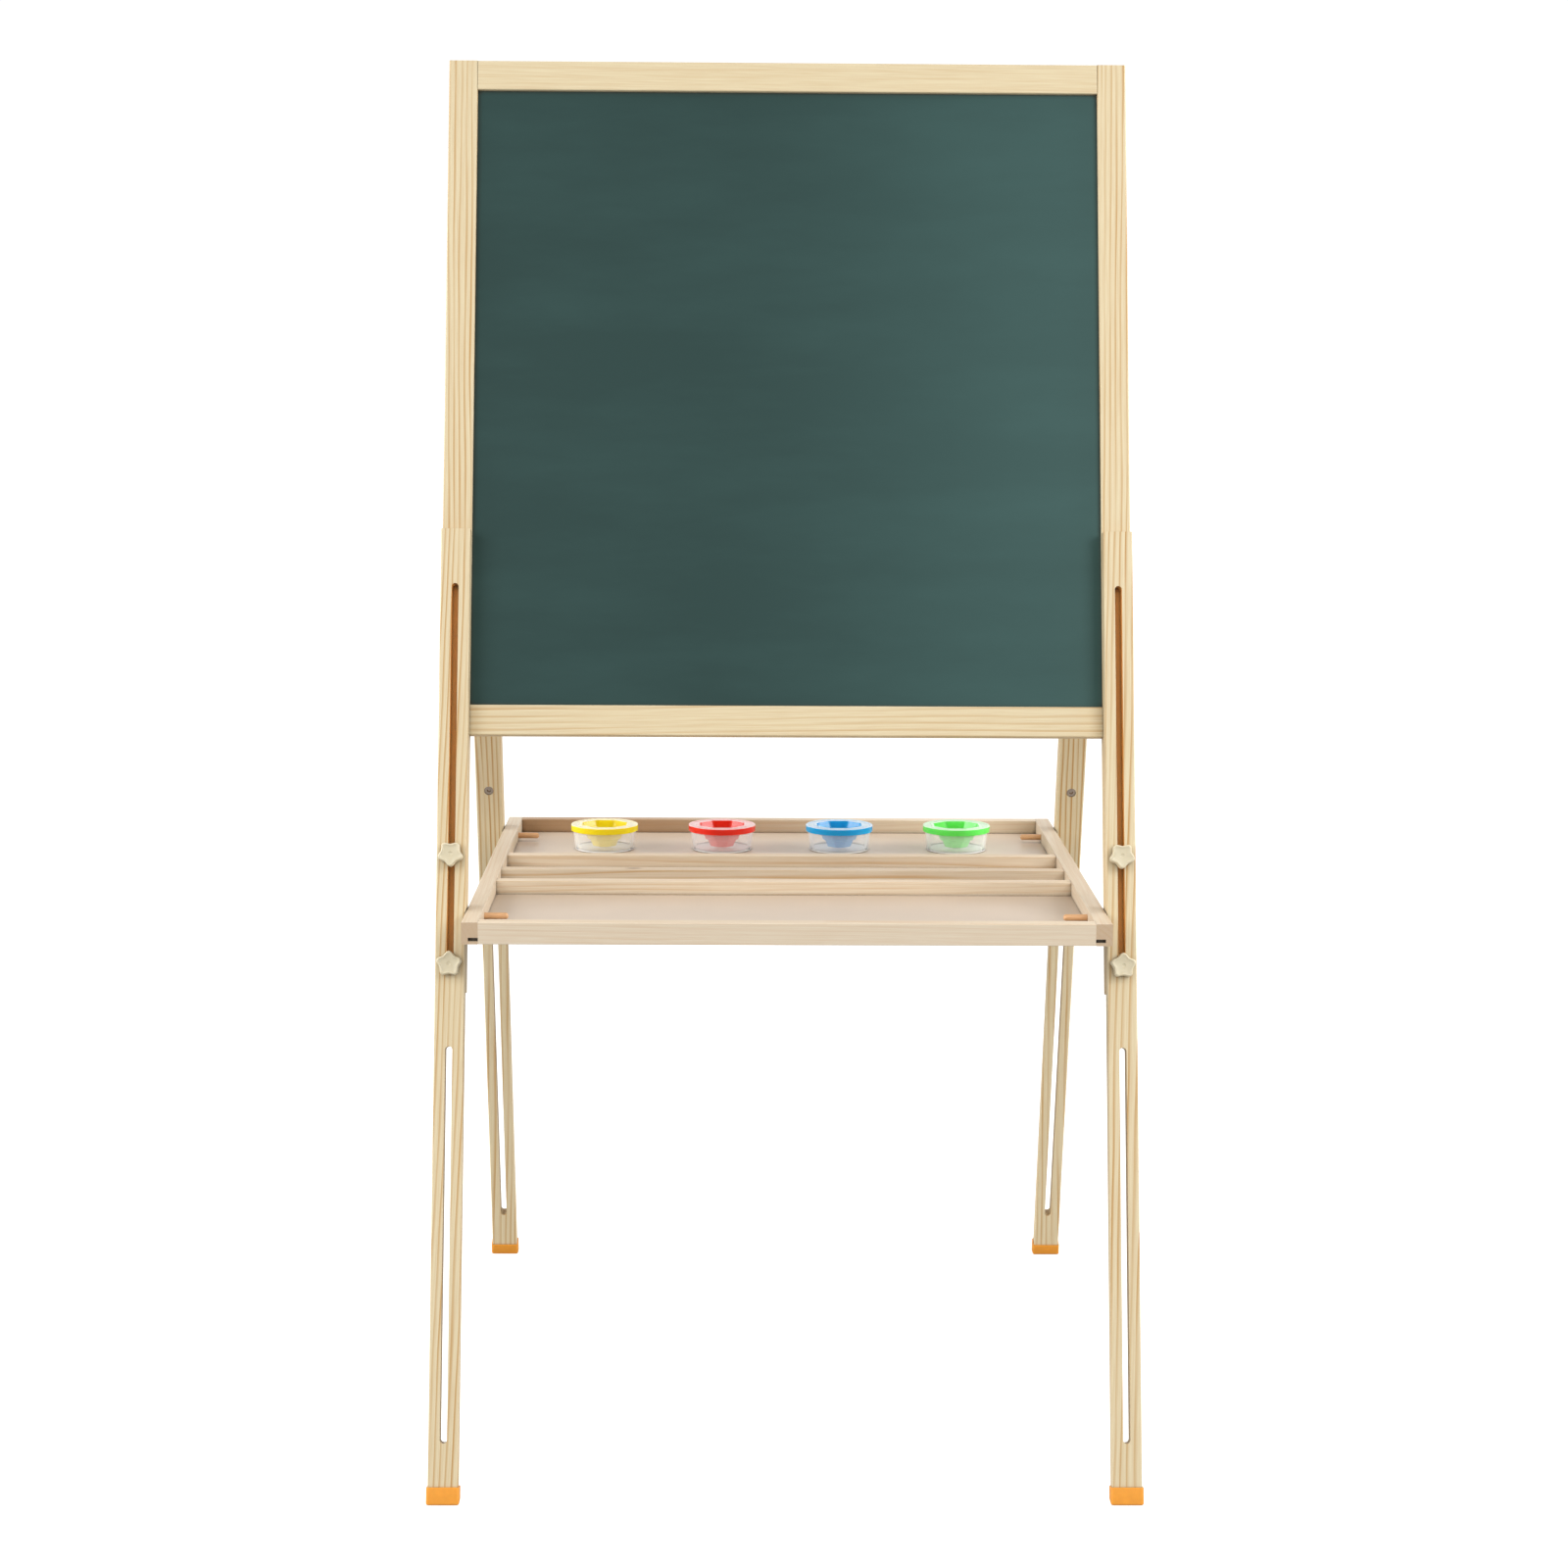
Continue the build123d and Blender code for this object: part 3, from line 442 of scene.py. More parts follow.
def pine(piece, grain, across, early, late, contrast, tone=1.0, tilt=GRAIN_TILT, touch=None):
    """Planed pine under thin clear lacquer: pale bands that end in a darker late-wood line, along the piece
    or a little aslant, with fine fibres. The rings turn round a pith that lies outside the piece, so a face
    shows near-parallel lines and an end shows arcs, darker as end grain soaks up more lacquer. A touch adds
    what is special to one piece."""
    timber = bpy.context.scene.easel.timber
    chance = random.Random(piece)
    low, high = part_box(piece)
    lean = (grain + across * tilt * chance.choice((-1, 1))).normalized()
    turn = Vector((0, 1, 0)).rotation_difference(lean).to_euler()
    swing = math.radians(chance.uniform(-PITH_SWING, PITH_SWING))
    reach = chance.uniform(*PITH_DISTANCE) * chance.choice((-1, 1))
    pith = (low + high) / 2 + reach * (across * math.cos(swing) + lean.cross(across) * math.sin(swing))
    tone *= chance.uniform(*TONE_SPREAD)

    material, tree, place = new_material(f"Pine {piece}")
    trunk = node(
        tree,
        "ShaderNodeMapping",
        {"Vector": place, "Location": pith, "Rotation": turn, "Scale": (1, GRAIN_STRETCH, 1)},
        vector_type="TEXTURE",
    )
    along = node(
        tree,
        "ShaderNodeMapping",
        {"Vector": place, "Location": pith, "Rotation": turn, "Scale": (1, FIBRE_STRETCH, 1)},
        vector_type="TEXTURE",
    )
    rings = node(
        tree,
        "ShaderNodeTexWave",
        {
            "Vector": trunk.outputs[0],
            "Scale": RING_WAVE / timber.ring_spacing,
            "Distortion": RING_WANDER,
            "Detail": 2.0,
            "Detail Scale": RING_WANDER_SCALE,
        },
        wave_type="RINGS",
        rings_direction="Y",
        wave_profile="SAW",
    )
    fibres = node(
        tree,
        "ShaderNodeTexNoise",
        {"Vector": along.outputs[0], "Scale": 1 / timber.fibre_width, "Detail": 3.0, "Roughness": 0.6},
    )
    patches = node(
        tree, "ShaderNodeTexNoise", {"Vector": trunk.outputs[0], "Scale": 1 / PATCH_WIDTH, "Detail": 2.0}
    )
    late_share = node(
        tree,
        "ShaderNodeMapRange",
        {"Value": rings.outputs["Fac"], "From Min": LATE_WOOD[0], "From Max": LATE_WOOD[1]},
        interpolation_type="SMOOTHSTEP",
    )
    lines = node(
        tree, "ShaderNodeTexNoise", {"Vector": along.outputs[0], "Scale": 1 / LINE_WIDTH, "Detail": 1.0}
    )
    unevenness = node(
        tree, "ShaderNodeMath", {0: patches.outputs["Fac"], 1: lines.outputs["Fac"]}, operation="ADD"
    )
    strength = node(
        tree,
        "ShaderNodeMapRange",
        {
            "Value": unevenness.outputs[0],
            "From Min": 0.75,
            "From Max": 1.25,
            "To Min": FAINTEST_RING * contrast,
            "To Max": contrast,
        },
    )
    ring_share = all_of(tree, late_share.outputs["Result"], strength.outputs["Result"])
    bands = node(
        tree,
        "ShaderNodeMix",
        {0: ring_share, 6: shade(early, tone), 7: shade(late, tone)},
        data_type="RGBA",
    )
    streaks = node(
        tree,
        "ShaderNodeMapRange",
        {
            "Value": fibres.outputs["Fac"],
            "From Min": 0.35,
            "From Max": 0.75,
            "To Min": 0.0,
            "To Max": STREAKS,
        },
    )
    colour = node(
        tree,
        "ShaderNodeMix",
        {0: streaks.outputs["Result"], 6: bands.outputs[2], 7: shade(late, 0.92 * tone)},
        data_type="RGBA",
    )
    ends = node(tree, "ShaderNodeMath", {0: facing_share(tree, lean)}, operation="ABSOLUTE")
    soaked = node(
        tree,
        "ShaderNodeMapRange",
        {"Value": ends.outputs[0], "From Min": 0.85, "From Max": 0.95, "To Min": 0.0, "To Max": END_GRAIN},
    )
    colour = node(
        tree,
        "ShaderNodeMix",
        {0: soaked.outputs[0], 6: colour.outputs[2], 7: shade(late, 0.8 * tone)},
        data_type="RGBA",
    )
    if touch:
        colour = touch(tree, place, colour.outputs[2])
    # Painted shade in tight corners.
    colour = painted_nook_shade(tree, colour.outputs[2])
    gloss = node(
        tree, "ShaderNodeMapRange", {"Value": fibres.outputs["Fac"], "To Min": 0.38, "To Max": 0.58}
    )
    relief = node(
        tree,
        "ShaderNodeBump",
        {"Height": fibres.outputs["Fac"], "Strength": 0.12, "Distance": 0.2 * MM},
    )
    return surface(
        material,
        {
            "Base Color": colour.outputs[2],
            "Roughness": gloss.outputs["Result"],
            "Specular IOR Level": 0.35,
            "Normal": relief.outputs[0],
        },
    )


def beech():
    """Turned beech, waxed: an even tan with short fine flecks along the peg."""
    timber = bpy.context.scene.easel.timber
    material, tree, place = new_material("Turned beech")
    along = node(
        tree, "ShaderNodeMapping", {"Vector": place, "Scale": (12, 1, 1)}, vector_type="TEXTURE"
    )
    flecks = node(
        tree, "ShaderNodeTexNoise", {"Vector": along.outputs[0], "Scale": 1 / (0.7 * MM), "Detail": 2.0}
    )
    share = node(
        tree, "ShaderNodeMapRange", {"Value": flecks.outputs["Fac"], "From Min": 0.4, "From Max": 0.75}
    )
    colour = node(
        tree,
        "ShaderNodeMix",
        {0: share.outputs[0], 6: timber.beech[:], 7: shade(timber.beech, 0.72)},
        data_type="RGBA",
    )
    return surface(material, {"Base Color": colour.outputs[2], "Roughness": 0.42})


class EASEL_OT_frame_wood(bpy.types.Operator):
    """Give the stiles, rails and legs pine whose grain runs along each of them"""

    bl_idname = "easel.frame_wood"
    bl_label = "Frame and Leg Wood"

    def execute(self, context):
        timber = context.scene.easel.timber
        growth = (timber.early_wood, timber.late_wood)
        for name in FRAMES:
            up = UP_THE_STILES[name]
            for side in SIDES:
                stile, leg = f"{name}_{side}_stile", f"{name}_{side}_leg"
                low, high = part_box(leg)
                middle, facing = (low.x + high.x) / 2, OUTWARDS[name]
                levels = [vertex.co.dot(up) for vertex in NODES[leg].data.vertices]
                between_slots = (min(levels) + max(levels)) / 2
                # Painted shade in the slots: on the stile's strip deep in a slot and on the walls of the
                # leg's upper slot.
                strip = partial(slot_strip_shade, middle=middle, facing=facing)
                paint(NODES[stile], pine(stile, up, ACROSS, *growth, STILE_CONTRAST[name], touch=strip))
                walls = partial(slot_wall_shade, middle=middle, up=up, foot=between_slots)
                looks = (LEG_CONTRAST, LEG_TONE_AND_LIGHT[name], LEG_GRAIN_TILT, walls)
                paint(NODES[leg], pine(leg, up, ACROSS, *growth, *looks))
            for rail, looks in RAIL_LOOKS.items():
                piece = f"{name}_{rail}_rail"
                paint(NODES[piece], pine(piece, ACROSS, up, *growth, *looks))
        return {"FINISHED"}


class EASEL_OT_tray(bpy.types.Operator):
    """Give the tray's rails and dividers paler pine, and its floor lacquered fibreboard"""

    bl_idname = "easel.tray"
    bl_label = "Tray"

    def execute(self, context):
        timber = context.scene.easel.timber
        pale = (timber.tray_early_wood, timber.tray_late_wood)
        golden = (timber.tray_early_wood, timber.late_wood)
        for side in SIDES:
            piece = f"tray_{side}_rail"
            paint(NODES[piece], pine(piece, BACKWARDS, ACROSS, *pale, TRAY_CONTRAST))
        low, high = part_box("tray_middle_divider")
        knot_place = Vector((KNOT_ACROSS, (low.y + high.y) / 2, high.z))
        crossbars = {
            "front_rail": (pale, TRAY_CONTRAST, 1.06, None),
            # The back rail carries painted shadow towards its left end.
            "back_rail": (pale, TRAY_CONTRAST, 1.08, partial(painted_rail_shadow, **BACK_RAIL_SHADOW)),
            "front_divider": (golden, DIVIDER_CONTRAST, 1.05, None),
            "middle_divider": (golden, KNOTTED_CONTRAST, 0.94, partial(knotted, middle=knot_place)),
            "back_divider": (golden, DIVIDER_CONTRAST, 1.13, None),
        }
        for bar, (growth, contrast, tone, touch) in crossbars.items():
            piece = f"tray_{bar}"
            paint(NODES[piece], pine(piece, ACROSS, UP, *growth, contrast, tone, touch=touch))
        paint(NODES["tray_floor"], fibreboard())
        return {"FINISHED"}


class EASEL_OT_beech(bpy.types.Operator):
    """Give the tray's pegs and all dowels turned beech"""

    bl_idname = "easel.beech"
    bl_label = "Pegs and Dowels"

    def execute(self, context):
        material = beech()
        pegs = [f"{name}_{side}_peg" for name in FRAMES for side in SIDES]
        for piece in pegs + ["front_frame_dowels", "rear_frame_dowels", "tray_dowels"]:
            paint(NODES[piece], material)
        return {"FINISHED"}


# Boards


# Painted shade at the front of the tray's floor and painted light at its back, as factors on its colour.
PAINTED_SHADE_AND_LIGHT_TONE = (0.85, 1.14)
# Painted light on the chalkboard: where it starts and ends across the board, and how strong it gets.
PAINTED_LIGHT_SPAN = (-100 * MM, 320 * MM)
MOST_PAINTED_LIGHT = 0.5
MOST_STREAKED = 0.2


def fibreboard():
    """Fibreboard with a printed, lacquered face: pinkish beige with soft mottling and a slight sheen, with
    painted shade towards the front and painted light towards the back."""
    boards = bpy.context.scene.easel.boards
    material, tree, place = new_material("Lacquered fibreboard")
    mottle = node(tree, "ShaderNodeTexNoise", {"Vector": place, "Scale": 1 / (45 * MM), "Detail": 3.0})
    specks = node(tree, "ShaderNodeTexNoise", {"Vector": place, "Scale": 1 / (1.6 * MM), "Detail": 2.0})
    share = node(
        tree,
        "ShaderNodeMix",
        {0: 0.45, 2: mottle.outputs["Fac"], 3: specks.outputs["Fac"]},
        data_type="FLOAT",
    )
    colour = node(
        tree,
        "ShaderNodeMix",
        {0: share.outputs[0], 6: shade(boards.tray_panel, 1.06), 7: shade(boards.tray_panel, 0.9)},
        data_type="RGBA",
    )
    low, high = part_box("tray_floor")
    # Painted shade towards the front, painted light towards the back.
    tone = node(
        tree,
        "ShaderNodeMapRange",
        {
            "Value": node(tree, "ShaderNodeSeparateXYZ", {0: place}).outputs["Y"],
            "From Min": low.y,
            "From Max": high.y,
            "To Min": PAINTED_SHADE_AND_LIGHT_TONE[0],
            "To Max": PAINTED_SHADE_AND_LIGHT_TONE[1],
        },
    )
    front_shade_back_light = node(
        tree, "ShaderNodeVectorMath", {0: colour.outputs[2], "Scale": tone.outputs[0]}, operation="SCALE"
    )
    # Painted shade in tight corners.
    colour = painted_nook_shade(tree, front_shade_back_light.outputs[0])
    relief = node(
        tree, "ShaderNodeBump", {"Height": specks.outputs["Fac"], "Strength": 0.05, "Distance": 0.1 * MM}
    )
    return surface(
        material, {"Base Color": colour.outputs[2], "Roughness": 0.36, "Normal": relief.outputs[0]}
    )


def bare_back(tree, place, face_colour, facing):
    """A board's painted face, with fibrous brown hardboard on its back and edges."""
    brown = bpy.context.scene.easel.boards.hardboard
    fibres = node(
        tree,
        "ShaderNodeTexNoise",
        {"Vector": place, "Scale": 1 / (2.2 * MM), "Detail": 4.0, "Roughness": 0.7},
    )
    bare = two_tone(tree, fibres, brown, 1.12, 0.84)
    face = node(
        tree, "ShaderNodeMath", {0: facing_share(tree, facing), 1: SQUARELY}, operation="GREATER_THAN"
    )
    return node(
        tree, "ShaderNodeMix", {0: face.outputs[0], 6: bare.outputs[2], 7: face_colour}, data_type="RGBA"
    )


def chalkboard_paint():
    """Matt sprayed chalkboard paint: a dark green-grey with a fine tooth, a thin film of wiped chalk in
    broad sideways strokes, and painted light in the chalk's colour that grows towards the right. The tooth
    is drawn at about a millimetre, coarser than the real one."""
    boards = bpy.context.scene.easel.boards
    material, tree, place = new_material("Chalkboard paint")
    wiped = node(tree, "ShaderNodeMapping", {"Vector": place, "Scale": (4, 1, 1)}, vector_type="TEXTURE")
    film = node(
        tree,
        "ShaderNodeTexNoise",
        {"Vector": wiped.outputs[0], "Scale": 1 / (60 * MM), "Detail": 5.0, "Roughness": 0.6},
    )
    tooth = node(tree, "ShaderNodeTexNoise", {"Vector": place, "Scale": 1 / (1.1 * MM), "Detail": 2.0})
    streaks = node(
        tree,
        "ShaderNodeMapRange",
        {
            "Value": film.outputs["Fac"],
            "From Min": 0.4,
            "From Max": 0.8,
            "To Min": 0.0,
            "To Max": MOST_STREAKED,
        },
    )
    across = node(tree, "ShaderNodeSeparateXYZ", {0: place}).outputs["X"]
    # Painted light that grows towards the right of the board.
    painted_light_share = node(
        tree,
        "ShaderNodeMapRange",
        {
            "Value": across,
            "From Min": PAINTED_LIGHT_SPAN[0],
            "From Max": PAINTED_LIGHT_SPAN[1],
            "To Min": 0.0,
            "To Max": MOST_PAINTED_LIGHT,
        },
        interpolation_type="SMOOTHSTEP",
    )
    overlay = node(tree, "ShaderNodeMath", {0: streaks.outputs[0], 1: painted_light_share.outputs[0]}, operation="ADD")
    colour = node(
        tree,
        "ShaderNodeMix",
        {0: overlay.outputs[0], 6: boards.chalkboard[:], 7: boards.chalk_and_light[:]},
        data_type="RGBA",
    )
    colour = bare_back(tree, place, colour.outputs[2], OUTWARDS["front"])
    # Painted shade in tight corners.
    colour = painted_nook_shade(tree, colour.outputs[2])
    relief = node(
        tree, "ShaderNodeBump", {"Height": tooth.outputs["Fac"], "Strength": 0.15, "Distance": 0.1 * MM}
    )
    return surface(
        material,
        {
            "Base Color": colour.outputs[2],
            "Roughness": 0.48,
            "Specular IOR Level": 0.22,
            "Normal": relief.outputs[0],
        },
    )


def whiteboard_film():
    """Lacquered steel film on fibreboard: glossy white, with very faint grey ghosts of wiped marker."""
    boards = bpy.context.scene.easel.boards
    material, tree, place = new_material("Whiteboard lacquer")
    wiped = node(tree, "ShaderNodeMapping", {"Vector": place, "Scale": (3, 1, 1)}, vector_type="TEXTURE")
    ghosts = node(
        tree, "ShaderNodeTexNoise", {"Vector": wiped.outputs[0], "Scale": 1 / (70 * MM), "Detail": 4.0}
    )
    share = node(
        tree, "ShaderNodeMapRange", {"Value": ghosts.outputs["Fac"], "From Min": 0.5, "From Max": 0.8}
    )
    colour = node(
        tree,
        "ShaderNodeMix",
        {0: share.outputs[0], 6: boards.whiteboard[:], 7: shade(boards.whiteboard, 0.93)},
        data_type="RGBA",
    )
    colour = bare_back(tree, place, colour.outputs[2], OUTWARDS["rear"])
    # Painted shade in tight corners.
    colour = painted_nook_shade(tree, colour.outputs[2])
    gloss = node(
        tree, "ShaderNodeMapRange", {"Value": ghosts.outputs["Fac"], "To Min": 0.1, "To Max": 0.24}
    )
    return surface(material, {"Base Color": colour.outputs[2], "Roughness": gloss.outputs[0]})


class EASEL_OT_boards(bpy.types.Operator):
    """Finish the chalkboard and the whiteboard"""

    bl_idname = "easel.boards"
    bl_label = "Boards"

    def execute(self, context):
        paint(NODES["chalkboard"], chalkboard_paint())
        paint(NODES["whiteboard"], whiteboard_film())
        return {"FINISHED"}


# Metal fittings


def zinc_steel():
    """Zinc-plated steel with a worn yellow passivation: a warm grey metal with uneven gloss."""
    material, tree, place = new_material("Zinc-plated steel")
    spangle = node(tree, "ShaderNodeTexNoise", {"Vector": place, "Scale": 1 / (2.5 * MM), "Detail": 3.0})
    gloss = node(
        tree, "ShaderNodeMapRange", {"Value": spangle.outputs["Fac"], "To Min": 0.1, "To Max": 0.26}
    )
    colour = node(
        tree,
        "ShaderNodeMix",
        {0: spangle.outputs["Fac"], 6: linear("C2B2A2"), 7: linear("8C7B6C")},
        data_type="RGBA",
    )
    return surface(
        material, {"Base Color": colour.outputs[2], "Metallic": 1.0, "Roughness": gloss.outputs[0]}
    )


class EASEL_OT_fittings(bpy.types.Operator):
    """Give the bolts, hinges, pins and screws zinc-plated steel"""

    bl_idname = "easel.fittings"
    bl_label = "Metal Fittings"

    def execute(self, context):
        material = zinc_steel()
        kinds = ("bolts", "hinge_leaves", "hinge_screws")
        fittings = [f"{name}_{kind}" for name in FRAMES for kind in kinds]
        for piece in fittings + ["hinge_pins"]:
            paint(NODES[piece], material)
        return {"FINISHED"}


# Star knobs


KNOB_POINTS = 5
OUTLINE_STEPS = 10
ROUND_STEPS = 6
TOP_ROUND = 1.6 * MM
BOTTOM_ROUND = 0.8 * MM
DISH_STEPS = ((0.0, 0.5 * MM), (-0.15 * MM, 0.5 * MM), (-0.4 * MM, 0.9 * MM), (-0.25 * MM, 1.2 * MM))
DIMPLE_RADIUS = 3.2 * MM
DIMPLE_DEPTH = 1.6 * MM
DIMPLE_SIDES = 40
DIMPLE_RINGS = 24
HUB_OVERLAP = 1.0 * MM
HUB_SIDES = 48
BORE_SIDES = 32
KNOB_CREASE = 35
WELD_REACH = 0.01 * MM
POINT_UP = {"upper": -1, "lower": 1}
KNOB_SIZES = (
    "point_radius",
    "valley_radius",
    "point_round",
    "valley_round",
    "height",
    "hub_radius",
    "hub_height",
    "bore_radius",
    "bore_depth",
)


def ivory_plastic():
    """Injection-moulded polypropylene: warm ivory, slightly see-through at its edges, with a satin skin."""
    knobs = bpy.context.scene.easel.knobs
    material, tree, place = new_material("Ivory polypropylene")
    skin = node(tree, "ShaderNodeTexNoise", {"Vector": place, "Scale": 1 / (1.2 * MM), "Detail": 2.0})
    flow = node(tree, "ShaderNodeTexNoise", {"Vector": place, "Scale": 1 / (14 * MM), "Detail": 2.0})
    colour = two_tone(tree, flow, knobs.ivory, 1.05, 0.92)
    gloss = node(tree, "ShaderNodeMapRange", {"Value": skin.outputs["Fac"], "To Min": 0.28, "To Max": 0.42})
    relief = node(
        tree, "ShaderNodeBump", {"Height": skin.outputs["Fac"], "Strength": 0.06, "Distance": 0.1 * MM}
    )
    return surface(
        material,
        {
            "Base Color": colour.outputs[2],
            "Roughness": gloss.outputs[0],
            "IOR": 1.49,
            "Subsurface Weight": 0.2,
            "Subsurface Radius": (1.0, 0.9, 0.7),
            "Subsurface Scale": 1.5 * MM,
            "Normal": relief.outputs[0],
        },
    )


def round_steps(radius, steps):
    """Rises and insets that follow a quarter round, from a wall to a flat top."""
    angles = [math.pi / 2 * step / steps for step in range(steps + 1)]
    for start, end in zip(angles, angles[1:]):
        yield radius * (math.sin(end) - math.sin(start)), radius * (math.cos(start) - math.cos(end))


def knob_tree(material, point_reach):
    """A node tree for one star knob: a rounded star drawn up in steps to a dished face, a hub, a dimple and
    a bore."""
    tree = bpy.data.node_groups.new("Star knob", "GeometryNodeTree")
    tree.interface.new_socket("Geometry", in_out="OUTPUT", socket_type="NodeSocketGeometry")
    for size in KNOB_SIZES:
        tree.interface.new_socket(size, in_out="INPUT", socket_type="NodeSocketFloat")
    for place in ("place", "turn"):
        tree.interface.new_socket(place, in_out="INPUT", socket_type="NodeSocketVector")
    sizes = node(tree, "NodeGroupInput").outputs

    star = node(
        tree,
        "GeometryNodeCurveStar",
        {
            "Points": KNOB_POINTS,
            "Inner Radius": sizes["valley_radius"],
            "Outer Radius": sizes["point_radius"],
        },
    )
    rounding = node(
        tree,
        "GeometryNodeSwitch",
        {
            "Switch": star.outputs["Outer Points"],
            "False": sizes["valley_round"],
            "True": sizes["point_round"],
        },
        input_type="FLOAT",
    )
    outline = node(
        tree,
        "GeometryNodeFilletCurve",
        {
            "Curve": star.outputs["Curve"],
            "Count": OUTLINE_STEPS,
            "Radius": rounding.outputs[0],
            "Limit Radius": True,
        },
        mode="POLY",
    )
    face = node(tree, "GeometryNodeFillCurve", {"Curve": outline.outputs[0]}, mode="NGONS").outputs[0]
    straight = node(
        tree,
        "ShaderNodeMath",
        {0: sizes["height"], 1: TOP_ROUND + BOTTOM_ROUND},
        operation="SUBTRACT",
    )
    lower = list(round_steps(BOTTOM_ROUND, ROUND_STEPS // 2))
    steps = [(rise, -inset) for inset, rise in reversed(lower)]
    steps += [(straight.outputs[0], 0.0)]
    steps += list(round_steps(TOP_ROUND, ROUND_STEPS))
    steps += list(DISH_STEPS)
    reach = point_reach - BOTTOM_ROUND
    shrink = node(
        tree,
        "GeometryNodeScaleElements",
        {"Geometry": face, "Scale": reach / point_reach},
        domain="FACE",
    )
    body = shrink.outputs[0]
    floor = node(tree, "GeometryNodeFlipFaces", {"Mesh": body}).outputs[0]
    top = True
    for rise, inset in steps:
        drawn = node(
            tree,
            "GeometryNodeExtrudeMesh",
            {"Mesh": body, "Selection": top, "Offset": UP, "Offset Scale": rise, "Individual": False},
            mode="FACES",
        )
        top = drawn.outputs["Top"]
        scaled = node(
            tree,
            "GeometryNodeScaleElements",
            {"Geometry": drawn.outputs["Mesh"], "Selection": top, "Scale": (reach - inset) / reach},
            domain="FACE",
        )
        body = scaled.outputs[0]
        reach -= inset
    closed = node(tree, "GeometryNodeJoinGeometry")
    tree.links.new(body, closed.inputs[0])
    tree.links.new(floor, closed.inputs[0])
    welded = node(
        tree, "GeometryNodeMergeByDistance", {"Geometry": closed.outputs[0], "Distance": WELD_REACH}
    )
    lift = node(tree, "ShaderNodeCombineXYZ", {"Z": sizes["hub_height"]})
    raised = node(
        tree,
        "GeometryNodeTransform",
        {"Geometry": welded.outputs[0], "Translation": lift.outputs[0]},
    )

    hub_depth = node(tree, "ShaderNodeMath", {0: sizes["hub_height"], 1: HUB_OVERLAP}, operation="ADD")
    hub_middle = node(tree, "ShaderNodeMath", {0: hub_depth.outputs[0], 1: 0.5}, operation="MULTIPLY")
    hub_place = node(tree, "ShaderNodeCombineXYZ", {"Z": hub_middle.outputs[0]})
    hub = node(
        tree,
        "GeometryNodeMeshCylinder",
        {"Vertices": HUB_SIDES, "Radius": sizes["hub_radius"], "Depth": hub_depth.outputs[0]},
    )
    hub_placed = node(
        tree, "GeometryNodeTransform", {"Geometry": hub.outputs[0], "Translation": hub_place.outputs[0]}
    )
    bore_length = node(tree, "ShaderNodeMath", {0: sizes["bore_depth"], 1: 2.0}, operation="MULTIPLY")
    bore = node(
        tree,
        "GeometryNodeMeshCylinder",
        {"Vertices": BORE_SIDES, "Radius": sizes["bore_radius"], "Depth": bore_length.outputs[0]},
    )
    crown = node(tree, "ShaderNodeMath", {0: sizes["hub_height"], 1: sizes["height"]}, operation="ADD")
    dimple_height = node(
        tree, "ShaderNodeMath", {0: crown.outputs[0], 1: DIMPLE_RADIUS - DIMPLE_DEPTH}, operation="ADD"
    )
    dimple_place = node(tree, "ShaderNodeCombineXYZ", {"Z": dimple_height.outputs[0]})
    dimple = node(
        tree,
        "GeometryNodeMeshUVSphere",
        {"Segments": DIMPLE_SIDES, "Rings": DIMPLE_RINGS, "Radius": DIMPLE_RADIUS},
    )
    dimple_placed = node(
        tree,
        "GeometryNodeTransform",
        {"Geometry": dimple.outputs[0], "Translation": dimple_place.outputs[0]},
    )
    whole = node(tree, "GeometryNodeMeshBoolean", operation="UNION", solver="EXACT")
    tree.links.new(raised.outputs[0], whole.inputs["Mesh 2"])
    tree.links.new(hub_placed.outputs[0], whole.inputs["Mesh 2"])
    hollowed = node(
        tree,
        "GeometryNodeMeshBoolean",
        {"Mesh 1": whole.outputs[0]},
        operation="DIFFERENCE",
        solver="EXACT",
    )
    tree.links.new(bore.outputs[0], hollowed.inputs["Mesh 2"])
    tree.links.new(dimple_placed.outputs[0], hollowed.inputs["Mesh 2"])
    placed = node(
        tree,
        "GeometryNodeTransform",
        {"Geometry": hollowed.outputs[0], "Translation": sizes["place"], "Rotation": sizes["turn"]},
    )
    real = node(tree, "GeometryNodeRealizeInstances", {"Geometry": placed.outputs[0]})
    painted = node(tree, "GeometryNodeSetMaterial", {"Geometry": real.outputs[0], "Material": material})
    node(tree, "NodeGroupOutput", {"Geometry": painted.outputs[0]})
    return tree


def realized(name, tree, values):
    """Run a node tree on an empty mesh with the given inputs, and keep the result as a plain object."""
    maker = add_object(f"{name}_maker", bpy.data.meshes.new(f"{name}_maker"))
    modifier = maker.modifiers.new("Maker", "NODES")
    modifier.node_group = tree
    for item in tree.interface.items_tree:
        if item.in_out == "INPUT":
            modifier[item.identifier] = values[item.name]
    bpy.context.view_layer.update()
    evaluated = maker.evaluated_get(bpy.context.evaluated_depsgraph_get())
    mesh = bpy.data.meshes.new_from_object(evaluated)
    bpy.data.objects.remove(maker)
    if not mesh.polygons:
        raise RuntimeError(f"the node tree made no faces for {name}")
    mesh.name = name
    return add_object(name, mesh)


